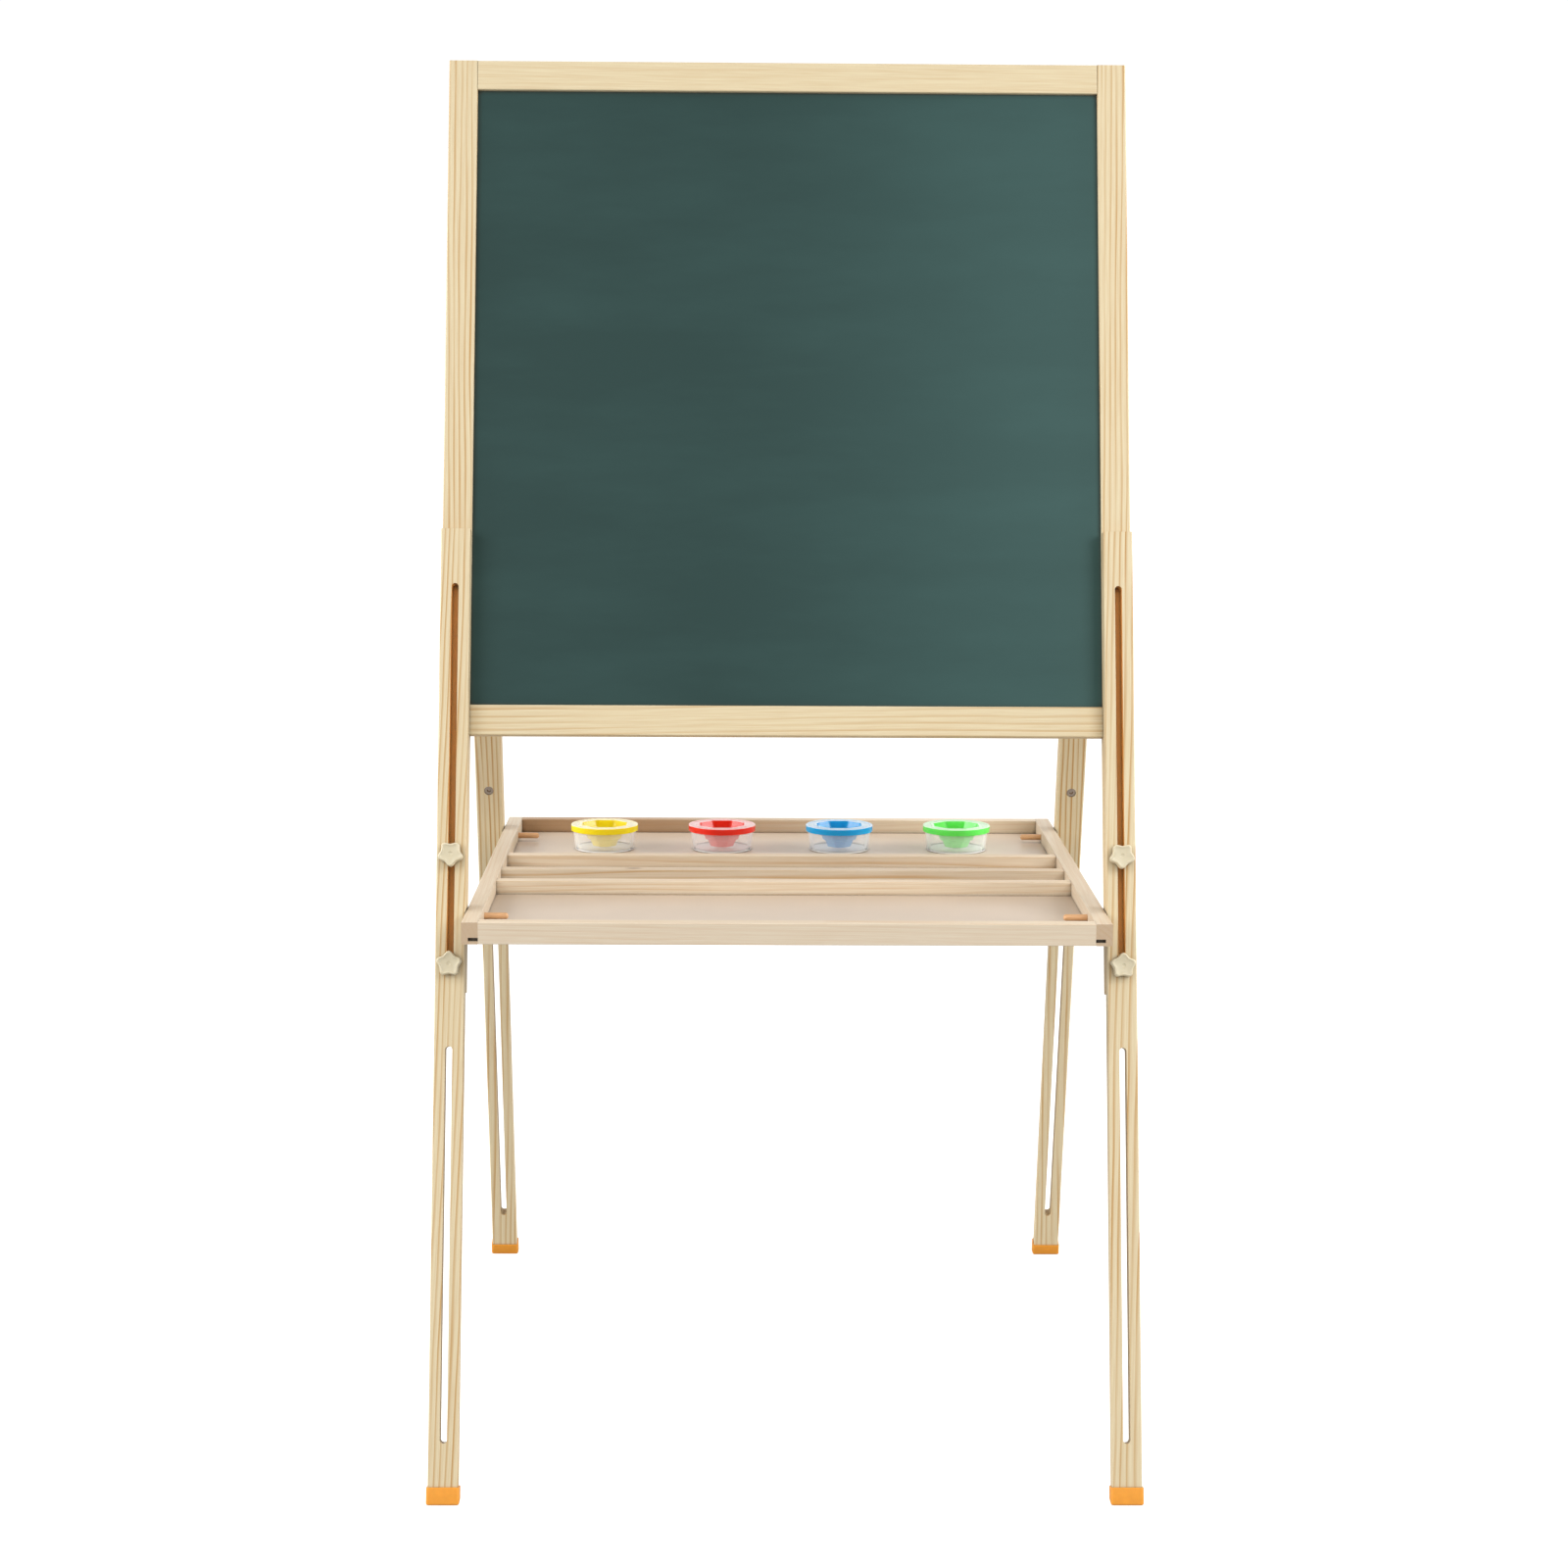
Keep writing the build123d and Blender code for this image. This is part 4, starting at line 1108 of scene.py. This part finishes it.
class EASEL_OT_star_knobs(bpy.types.Operator):
    """Make the eight star knobs, each on the end of its clamp bolt"""

    bl_idname = "easel.star_knobs"
    bl_label = "Star Knobs"

    def execute(self, context):
        knobs = context.scene.easel.knobs
        tree = knob_tree(ivory_plastic(), knobs.point_radius)
        sizes = {size: getattr(knobs, size) for size in KNOB_SIZES}
        for name in FRAMES:
            out = OUTWARDS[name]
            for side in SIDES:
                for level in LEVELS:
                    up = UP_THE_STILES[name] * POINT_UP[level]
                    turn = Matrix((up, out.cross(up), out)).transposed().to_euler()
                    body = f"{name}_{side}_{level}_knob"
                    corners = [vertex.co for vertex in NODES[body].data.vertices]
                    axis_point = Vector(JOINTS[f"{body}_turn"]["pos_m"])
                    base = min((corner - axis_point).dot(out) for corner in corners)
                    place = axis_point + out * base
                    knob = realized(f"{body}_star", tree, {**sizes, "place": place, "turn": turn})
                    smooth(knob.data, KNOB_CREASE)
                    place_piece(knob, body, body)
        return {"FINISHED"}


# Foot caps


FLAT_ANGLE = 2
SHARP_ANGLE = 40
ROUND_SEGMENTS = 4


def orange_rubber():
    """Moulded thermoplastic rubber: bright orange, soft sheen, a faint dusty bloom."""
    caps = bpy.context.scene.easel.caps
    material, tree, place = new_material("Orange rubber")
    bloom = node(tree, "ShaderNodeTexNoise", {"Vector": place, "Scale": 1 / (6 * MM), "Detail": 3.0})
    grain = node(tree, "ShaderNodeTexNoise", {"Vector": place, "Scale": 1 / (0.8 * MM), "Detail": 2.0})
    colour = two_tone(tree, bloom, caps.orange, 1.08, 0.88)
    relief = node(
        tree, "ShaderNodeBump", {"Height": grain.outputs["Fac"], "Strength": 0.1, "Distance": 0.1 * MM}
    )
    return surface(
        material,
        {
            "Base Color": colour.outputs[2],
            "Roughness": 0.45,
            "Subsurface Weight": 0.1,
            "Subsurface Radius": (1.0, 0.5, 0.2),
            "Subsurface Scale": 1.5 * MM,
            "Normal": relief.outputs[0],
        },
    )


def rounded_copy(node_name, name, width):
    """A copy of a CAD node with its flat faces joined and its sharp edges rounded."""
    shape = bmesh.new()
    shape.from_mesh(NODES[node_name].data)
    bmesh.ops.remove_doubles(shape, verts=shape.verts, dist=WELD_REACH)
    flat = math.radians(FLAT_ANGLE)
    bmesh.ops.dissolve_limit(shape, angle_limit=flat, verts=shape.verts, edges=shape.edges)
    sharp = [edge for edge in shape.edges if edge.calc_face_angle(0) > math.radians(SHARP_ANGLE)]
    bmesh.ops.bevel(
        shape, geom=sharp, offset=width, segments=ROUND_SEGMENTS, profile=0.5, affect="EDGES"
    )
    mesh = bpy.data.meshes.new(name)
    shape.to_mesh(mesh)
    shape.free()
    return add_object(name, mesh)


class EASEL_OT_foot_caps(bpy.types.Operator):
    """Make the four soft-edged rubber caps on the legs' feet"""

    bl_idname = "easel.foot_caps"
    bl_label = "Foot Caps"

    def execute(self, context):
        material = orange_rubber()
        for name in FRAMES:
            for side in SIDES:
                cap = f"{name}_{side}_foot_cap"
                piece = rounded_copy(cap, f"{cap}_moulded", context.scene.easel.caps.edge_round)
                smooth(piece.data, SHARP_ANGLE)
                paint(piece, material)
                place_piece(piece, f"{name}_{side}_leg", cap)
        return {"FINISHED"}


# Paint pots


OCTAGON = 8
CORNER_CUT = 0.985
CORNER_STEPS = 3
FUNNEL_TIERS = ((26.5, 23.6), (21.0, 18.4), (15.9, 12.6))
FUNNEL_LEDGE_DROP = 0.9
FOOT_RISE = 0.5
FOOT_RING = 3.5
FOOT_SLOPE = 0.7
FOOT_CORNER = (1.7 * MM, 3.4 * MM)
FOOT_SHADE = (0.15, 0.75)
FLOOR_PLAY = 0.1 * MM
EDGE_BLEND = 0.25
LID_TOP = 1.0 * MM
FACING_UP = (0.5, 0.8)
FACING_SIDEWAYS = (0.86, 0.93)
# Painted light on the lids: how far the top, the funnel's side walls and the underside are painted towards
# white.
PAINTED_TOP_REFLECTION = 0.5
PAINTED_WALL_REFLECTION = 0.5
PAINTED_UNDER_LIGHT = 0.12
WALL_SLOPE = 0.12
LARGEST_EASE = 0.45
POT_CREASE = 32


def clear_plastic(foot):
    """Thin moulded polypropylene: see-through with a milky haze that veils what stands behind it, denser
    where a wall is seen edge on, white in the thick floor and grey in the shaded corner behind the foot."""
    pots = bpy.context.scene.easel.pots
    material, tree, place = new_material("Clear polypropylene")
    flow = node(tree, "ShaderNodeTexNoise", {"Vector": place, "Scale": 1 / (9 * MM), "Detail": 2.0})
    gloss = node(tree, "ShaderNodeMapRange", {"Value": flow.outputs["Fac"], "To Min": 0.08, "To Max": 0.2})
    parts = node(tree, "ShaderNodeSeparateXYZ", {0: place}).outputs
    low = node(
        tree,
        "ShaderNodeMapRange",
        {
            "Value": parts["Z"],
            "From Min": foot.z + FOOT_CORNER[0],
            "From Max": foot.z + FOOT_CORNER[1],
            "To Min": 1.0,
            "To Max": 0.0,
        },
        interpolation_type="SMOOTHSTEP",
    )
    floor = node(
        tree,
        "ShaderNodeMath",
        {0: parts["Z"], 1: foot.z + pots.floor_thickness + FLOOR_PLAY},
        operation="LESS_THAN",
    )
    behind = node(
        tree,
        "ShaderNodeMapRange",
        {
            "Value": parts["Y"],
            "From Min": foot.y + FOOT_SHADE[0] * pots.base_radius,
            "From Max": foot.y + FOOT_SHADE[1] * pots.base_radius,
        },
        interpolation_type="SMOOTHSTEP",
    )
    wall_only = node(
        tree, "ShaderNodeMath", {0: behind.outputs[0], 1: floor.outputs[0]}, operation="SUBTRACT"
    )
    corner = node(
        tree,
        "ShaderNodeMath",
        {0: low.outputs[0], 1: wall_only.outputs[0]},
        operation="MULTIPLY",
        use_clamp=True,
    )
    colour = node(
        tree,
        "ShaderNodeMix",
        {0: corner.outputs[0], 6: pots.clear[:], 7: pots.foot_grey[:]},
        data_type="RGBA",
    )
    edge = node(tree, "ShaderNodeLayerWeight", {"Blend": EDGE_BLEND}).outputs["Facing"]
    wall_haze = node(
        tree, "ShaderNodeMapRange", {"Value": edge, "To Min": pots.haze, "To Max": pots.edge_haze}
    )
    thick = node(tree, "ShaderNodeMath", {0: corner.outputs[0], 1: floor.outputs[0]}, operation="MAXIMUM")
    haze = node(
        tree,
        "ShaderNodeMix",
        {0: thick.outputs[0], 2: wall_haze.outputs[0], 3: pots.foot_haze},
        data_type="FLOAT",
    )
    return surface(
        material,
        {
            "Base Color": colour.outputs[2],
            "Roughness": gloss.outputs[0],
            "IOR": 1.49,
            "Alpha": haze.outputs[0],
        },
    )


def lid_plastic(colour_name, crown):
    """Injection-moulded polyethylene: a strong clean colour in the skirt and the funnel, with painted light
    towards white: a painted reflection on the flat top and on the funnel's two side walls, and painted light
    coming through underneath."""
    pots = bpy.context.scene.easel.pots
    colour = getattr(pots, colour_name)
    material, tree, place = new_material(f"{colour_name.capitalize()} polyethylene")
    flow = node(tree, "ShaderNodeTexNoise", {"Vector": place, "Scale": 1 / (12 * MM), "Detail": 2.0})
    tint = two_tone(tree, flow, colour, 1.06, 0.92)
    normal = node(tree, "ShaderNodeTexCoord").outputs["Normal"]
    normal = node(tree, "ShaderNodeSeparateXYZ", {0: normal}).outputs
    height = node(tree, "ShaderNodeSeparateXYZ", {0: place}).outputs["Z"]
    upward = node(
        tree,
        "ShaderNodeMapRange",
        {
            "Value": normal["Z"],
            "From Min": FACING_UP[0],
            "From Max": FACING_UP[1],
            "To Min": 0.0,
            "To Max": PAINTED_TOP_REFLECTION,
        },
    )
    at_top = node(tree, "ShaderNodeMath", {0: height, 1: crown.z - LID_TOP}, operation="GREATER_THAN")
    top = all_of(tree, upward.outputs[0], at_top.outputs[0])
    sideways = node(tree, "ShaderNodeMath", {0: normal["X"]}, operation="ABSOLUTE")
    side = node(
        tree,
        "ShaderNodeMapRange",
        {
            "Value": sideways.outputs[0],
            "From Min": FACING_SIDEWAYS[0],
            "From Max": FACING_SIDEWAYS[1],
            "To Min": 0.0,
            "To Max": PAINTED_WALL_REFLECTION,
        },
    )
    inside = node(tree, "ShaderNodeMath", {0: normal["Z"], 1: WALL_SLOPE}, operation="GREATER_THAN")
    side_wall = all_of(tree, side.outputs[0], inside.outputs[0])
    under = node(
        tree,
        "ShaderNodeMapRange",
        {
            "Value": normal["Z"],
            "From Min": -0.3,
            "From Max": -WALL_SLOPE,
            "To Min": PAINTED_UNDER_LIGHT,
            "To Max": 0.0,
        },
    )
    # Painted light: painted reflections on the top and the side walls, and painted light through the wall
    # underneath.
    lit = node(tree, "ShaderNodeMath", {0: top, 1: side_wall}, operation="MAXIMUM")
    thin = node(tree, "ShaderNodeMath", {0: lit.outputs[0], 1: under.outputs[0]}, operation="MAXIMUM")
    paler = node(
        tree, "ShaderNodeMix", {0: thin.outputs[0], 6: tint.outputs[2], 7: (1, 1, 1, 1)}, data_type="RGBA"
    )
    gloss = node(tree, "ShaderNodeMapRange", {"Value": flow.outputs["Fac"], "To Min": 0.12, "To Max": 0.22})
    return surface(
        material,
        {
            "Base Color": paler.outputs[2],
            "Roughness": gloss.outputs[0],
            "IOR": 1.5,
            "Subsurface Weight": 0.85,
            "Subsurface Radius": (1.0, 1.0, 1.0),
            "Subsurface Scale": 2.5 * MM,
            "Specular IOR Level": 0.3,
        },
    )


def ring_reach(radius, octagonal, angle):
    """Reach of a ring at an angle: a circle, or an octagon with a flat side in front and cut corners."""
    if not octagonal:
        return radius
    side = 2 * math.pi / OCTAGON
    from_middle = (angle + side / 2) % side - side / 2
    return min(radius * math.cos(side / 2) / math.cos(from_middle), radius * CORNER_CUT)


def eased_section(corners, looped):
    """A section's rings of (radius, height, octagonal), in millimetres. Each corner is (radius, height,
    octagonal, ease) and is cut back by its ease along both its sides and bridged with a curve."""
    rings = []
    last = len(corners) - 1
    for index, (radius, height, octagonal, ease) in enumerate(corners):
        here = Vector((radius, height))
        if not ease or (not looped and index in (0, last)):
            rings.append((radius, height, octagonal))
            continue
        before = Vector(corners[index - 1][:2]) - here
        after = Vector(corners[(index + 1) % len(corners)][:2]) - here
        start = here + before.normalized() * min(ease, before.length * LARGEST_EASE)
        end = here + after.normalized() * min(ease, after.length * LARGEST_EASE)
        for step in range(CORNER_STEPS + 1):
            share = step / CORNER_STEPS
            point = start.lerp(here, share).lerp(here.lerp(end, share), share)
            rings.append((point.x, point.y, octagonal))
    return rings


def turned(name, rings, centre, looped):
    """A shell through a stack of rings of (radius, height, octagonal), in millimetres from a point. A ring
    with no radius is a pole, and a looped shell runs from its last ring back to its first."""
    sides = bpy.context.scene.easel.pots.sides
    shape = bmesh.new()
    loops = []
    for radius, height, octagonal in rings:
        if radius == 0:
            loops.append([shape.verts.new(centre + UP * height * MM)])
            continue
        loop = []
        for side in range(sides):
            angle = 2 * math.pi * side / sides
            reach = ring_reach(radius, octagonal, angle) * MM
            offset = Vector((reach * math.cos(angle), reach * math.sin(angle), height * MM))
            loop.append(shape.verts.new(centre + offset))
        loops.append(loop)
    pairs = list(zip(loops, loops[1:]))
    if looped:
        pairs.append((loops[-1], loops[0]))
    for first, second in pairs:
        for side in range(sides):
            follow = (side + 1) % sides
            if len(first) == 1:
                shape.faces.new((first[0], second[follow], second[side]))
            elif len(second) == 1:
                shape.faces.new((first[side], first[follow], second[0]))
            else:
                shape.faces.new((first[side], first[follow], second[follow], second[side]))
    bmesh.ops.recalc_face_normals(shape, faces=shape.faces)
    mesh = bpy.data.meshes.new(name)
    shape.to_mesh(mesh)
    shape.free()
    smooth(mesh, POT_CREASE)
    return add_object(name, mesh)


def cup_section(rim, height, pots):
    """A cup's section, in millimetres from its foot: a low foot ring, a flared wall and a rolled lip."""
    base, wall, floor = pots.base_radius / MM, pots.wall / MM, pots.floor_thickness / MM
    corners = [
        (0, FOOT_RISE, False, 0),
        (base - FOOT_RING - FOOT_SLOPE, FOOT_RISE, False, 0.3),
        (base - FOOT_RING, 0, False, 0.3),
        (base, 0, False, 1.0),
        (rim, height, False, 0.6),
        (rim - wall, height, False, 0.6),
        (base - wall, floor, False, 1.6),
        (0, floor, False, 0),
    ]
    return eased_section(corners, looped=False)


def lid_section(outer, depth, pots):
    """A lid's section, in millimetres from its top: up the skirt, over the rim, across the dished ring and
    the octagonal lip, down inside the funnel's tiers, and back up underneath a wall's thickness away."""
    wall, dish = pots.wall / MM, pots.dish_depth / MM
    rim, lip = outer - pots.rim_width / MM, FUNNEL_TIERS[0][0] + pots.lip_width / MM
    skirt_foot = -(pots.skirt / MM + wall)
    tiers = len(FUNNEL_TIERS)
    tier_drop = (depth - (tiers - 1) * FUNNEL_LEDGE_DROP) / tiers
    funnel = []
    height = 0
    for head, foot in FUNNEL_TIERS:
        funnel += [(head, height), (foot, height - tier_drop)]
        height -= tier_drop + FUNNEL_LEDGE_DROP
    mouth, first_foot = FUNNEL_TIERS[0]
    under_mouth = mouth - (mouth - first_foot) * wall / tier_drop
    corners = [
        (outer, skirt_foot, False, 0.25),
        (outer, 0, False, 0.8),
        (rim, 0, False, 0.35),
        (rim - dish, -dish, False, 0.3),
        (lip + dish, -dish, True, 0.3),
        (lip, 0, True, 0.35),
    ]
    corners += [(reach - wall, level, True, 0.4) for reach, level in funnel]
    corners += [(reach, level, True, 0.4) for reach, level in reversed(funnel[1:])]
    corners += [
        (under_mouth, -wall, True, 0.3),
        (outer - wall, -wall, False, 0.4),
        (outer - wall, skirt_foot, False, 0.25),
    ]
    return eased_section(corners, looped=True)


class EASEL_OT_paint_cups(bpy.types.Operator):
    """Make the four clear cups in the back of the tray"""

    bl_idname = "easel.paint_cups"
    bl_label = "Paint Cups"

    def execute(self, context):
        pots = context.scene.easel.pots
        for colour in POT_COLOURS:
            cup = f"{colour}_cup"
            low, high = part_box(cup)
            foot = Vector(((low.x + high.x) / 2, (low.y + high.y) / 2, low.z))
            rings = cup_section((high.x - low.x) / 2 / MM, (high.z - low.z) / MM, pots)
            piece = turned(f"{cup}_moulded", rings, foot, looped=False)
            paint(piece, clear_plastic(foot))
            place_piece(piece, cup, cup)
        return {"FINISHED"}


class EASEL_OT_funnel_lids(bpy.types.Operator):
    """Make the four coloured no-spill lids"""

    bl_idname = "easel.funnel_lids"
    bl_label = "Funnel Lids"

    def execute(self, context):
        pots = context.scene.easel.pots
        for colour in POT_COLOURS:
            lid = f"{colour}_lid"
            low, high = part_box(lid)
            crown = Vector(((low.x + high.x) / 2, (low.y + high.y) / 2, high.z))
            rings = lid_section((high.x - low.x) / 2 / MM, (high.z - low.z) / MM, pots)
            piece = turned(f"{lid}_moulded", rings, crown, looped=True)
            paint(piece, lid_plastic(colour, crown))
            place_piece(piece, lid, lid)
        return {"FINISHED"}


# Stage


CAMERA_PLACE = (-0.0455, -2.9516, 1.0521)
CAMERA_YAW = -0.01561
CAMERA_PITCH = 0.1539
CAMERA_ROLL = 0.00607
SENSOR_WIDTH = 36.0
FLOOR_HALF = 40.0
LIGHT_AIM = (0, 0, 0.8)
LIGHTS = {
    "softbox_left": ((-1.9, -2.0, 1.7), 1.6, 0.95),
    "softbox_right": ((1.5, -1.9, 1.8), 1.2, 0.9),
    "side_light_left": ((-2.6, 0.1, 1.5), 1.4, 1.9),
    "side_light_right": ((2.6, 0.1, 1.5), 1.4, 1.9),
}
BACKDROP_SEEN = 1.05


def add_camera(lens):
    """A camera at the photograph's viewing angle, near the height of the board's middle."""
    camera = bpy.data.cameras.new("Camera")
    camera.lens = lens
    camera.sensor_width = SENSOR_WIDTH
    camera.clip_end = 100.0
    holder = bpy.data.objects.new("Camera", camera)
    level = Matrix.Rotation(math.pi / 2, 4, "X")
    turn = Matrix.Rotation(CAMERA_YAW, 4, "Z") @ Matrix.Rotation(-CAMERA_PITCH, 4, "X") @ level
    holder.matrix_world = Matrix.Translation(CAMERA_PLACE) @ turn @ Matrix.Rotation(CAMERA_ROLL, 4, "Z")
    bpy.context.scene.collection.objects.link(holder)
    bpy.context.scene.camera = holder


def add_softbox(name, place, size, power):
    """A square soft light at a place, turned to the easel's middle."""
    light = bpy.data.lights.new(name, "AREA")
    light.size = size
    light.energy = power
    holder = bpy.data.objects.new(name, light)
    holder.location = place
    holder.rotation_euler = (Vector(LIGHT_AIM) - Vector(place)).to_track_quat("-Z", "Y").to_euler()
    bpy.context.scene.collection.objects.link(holder)


def studio_floor(colour, lift):
    """Painted studio floor: even, matt and nearly white, with barely visible mottling. It is seen brighter
    than it is lit, so that it runs into the surround with no horizon."""
    material, tree, place = new_material("Studio floor paint")
    mottle = node(tree, "ShaderNodeTexNoise", {"Vector": place, "Scale": 2.0, "Detail": 2.0})
    tint = two_tone(tree, mottle, colour, 1.0, 0.985)
    seen = node(tree, "ShaderNodeLightPath").outputs["Is Camera Ray"]
    glow = node(tree, "ShaderNodeMath", {0: seen, 1: lift}, operation="MULTIPLY")
    return surface(
        material,
        {
            "Base Color": tint.outputs[2],
            "Roughness": 0.9,
            "Emission Color": (1, 1, 1, 1),
            "Emission Strength": glow.outputs[0],
        },
    )


def white_surround(brightness):
    """An even white surround, brighter where it is seen or mirrored, as a lit backdrop is."""
    world = bpy.data.worlds.new("White surround")
    world.use_nodes = True
    tree = world.node_tree
    tree.nodes.clear()
    path = node(tree, "ShaderNodeLightPath").outputs
    seen = node(
        tree,
        "ShaderNodeMath",
        {0: path["Is Camera Ray"], 1: path["Is Glossy Ray"]},
        operation="MAXIMUM",
    )
    strength = node(
        tree,
        "ShaderNodeMapRange",
        {"Value": seen.outputs[0], "To Min": brightness, "To Max": BACKDROP_SEEN},
    )
    light = node(tree, "ShaderNodeBackground", {"Color": (1, 1, 1, 1), "Strength": strength.outputs[0]})
    node(tree, "ShaderNodeOutputWorld", {"Surface": light.outputs[0]})
    return world


class EASEL_OT_stage(bpy.types.Operator):
    """Set up the pale floor, the soft light and the camera"""

    bl_idname = "easel.stage"
    bl_label = "Stage"

    def execute(self, context):
        stage = context.scene.easel.stage
        near, far = -FLOOR_HALF, FLOOR_HALF
        corners = [(near, near, 0), (far, near, 0), (far, far, 0), (near, far, 0)]
        mesh = bpy.data.meshes.new("studio_floor")
        mesh.from_pydata(corners, [], [(0, 1, 2, 3)])
        floor = add_object("studio_floor", mesh)
        paint(floor, studio_floor(stage.floor, stage.lift))
        for name, (place, size, share) in LIGHTS.items():
            add_softbox(name, place, size, stage.key_power * share)
        context.scene.world = white_surround(stage.sky)
        context.scene.view_settings.view_transform = "Standard"
        add_camera(stage.lens)
        return {"FINISHED"}


class EASEL_PT_sidebar(bpy.types.Panel):
    """Lists the steps that dress the easel, in order"""

    bl_label = "Kids Easel"
    bl_space_type = "VIEW_3D"
    bl_region_type = "UI"
    bl_category = "Easel"

    def draw(self, context):
        for operator in OPERATORS:
            self.layout.operator(operator.bl_idname)


GROUPS = (EaselTimber, EaselBoards, EaselKnobs, EaselCaps, EaselPots, EaselStage, EaselSettings)
OPERATORS = (
    EASEL_OT_frame_wood,
    EASEL_OT_tray,
    EASEL_OT_beech,
    EASEL_OT_boards,
    EASEL_OT_fittings,
    EASEL_OT_star_knobs,
    EASEL_OT_foot_caps,
    EASEL_OT_paint_cups,
    EASEL_OT_funnel_lids,
    EASEL_OT_stage,
)
CLASSES = GROUPS + OPERATORS + (EASEL_PT_sidebar,)


def register():
    """Register the classes and add the settings to the scene."""
    for kind in CLASSES:
        bpy.utils.register_class(kind)
    bpy.types.Scene.easel = bpy.props.PointerProperty(type=EaselSettings)


def unregister():
    """Take the settings and the classes away again."""
    del bpy.types.Scene.easel
    for kind in reversed(CLASSES):
        bpy.utils.unregister_class(kind)


def main():
    """Dress the whole easel."""
    register()
    bpy.ops.easel.frame_wood()
    bpy.ops.easel.tray()
    bpy.ops.easel.beech()
    bpy.ops.easel.boards()
    bpy.ops.easel.fittings()
    bpy.ops.easel.star_knobs()
    bpy.ops.easel.foot_caps()
    bpy.ops.easel.paint_cups()
    bpy.ops.easel.funnel_lids()
    bpy.ops.easel.stage()


if __name__ == "__main__":
    main()
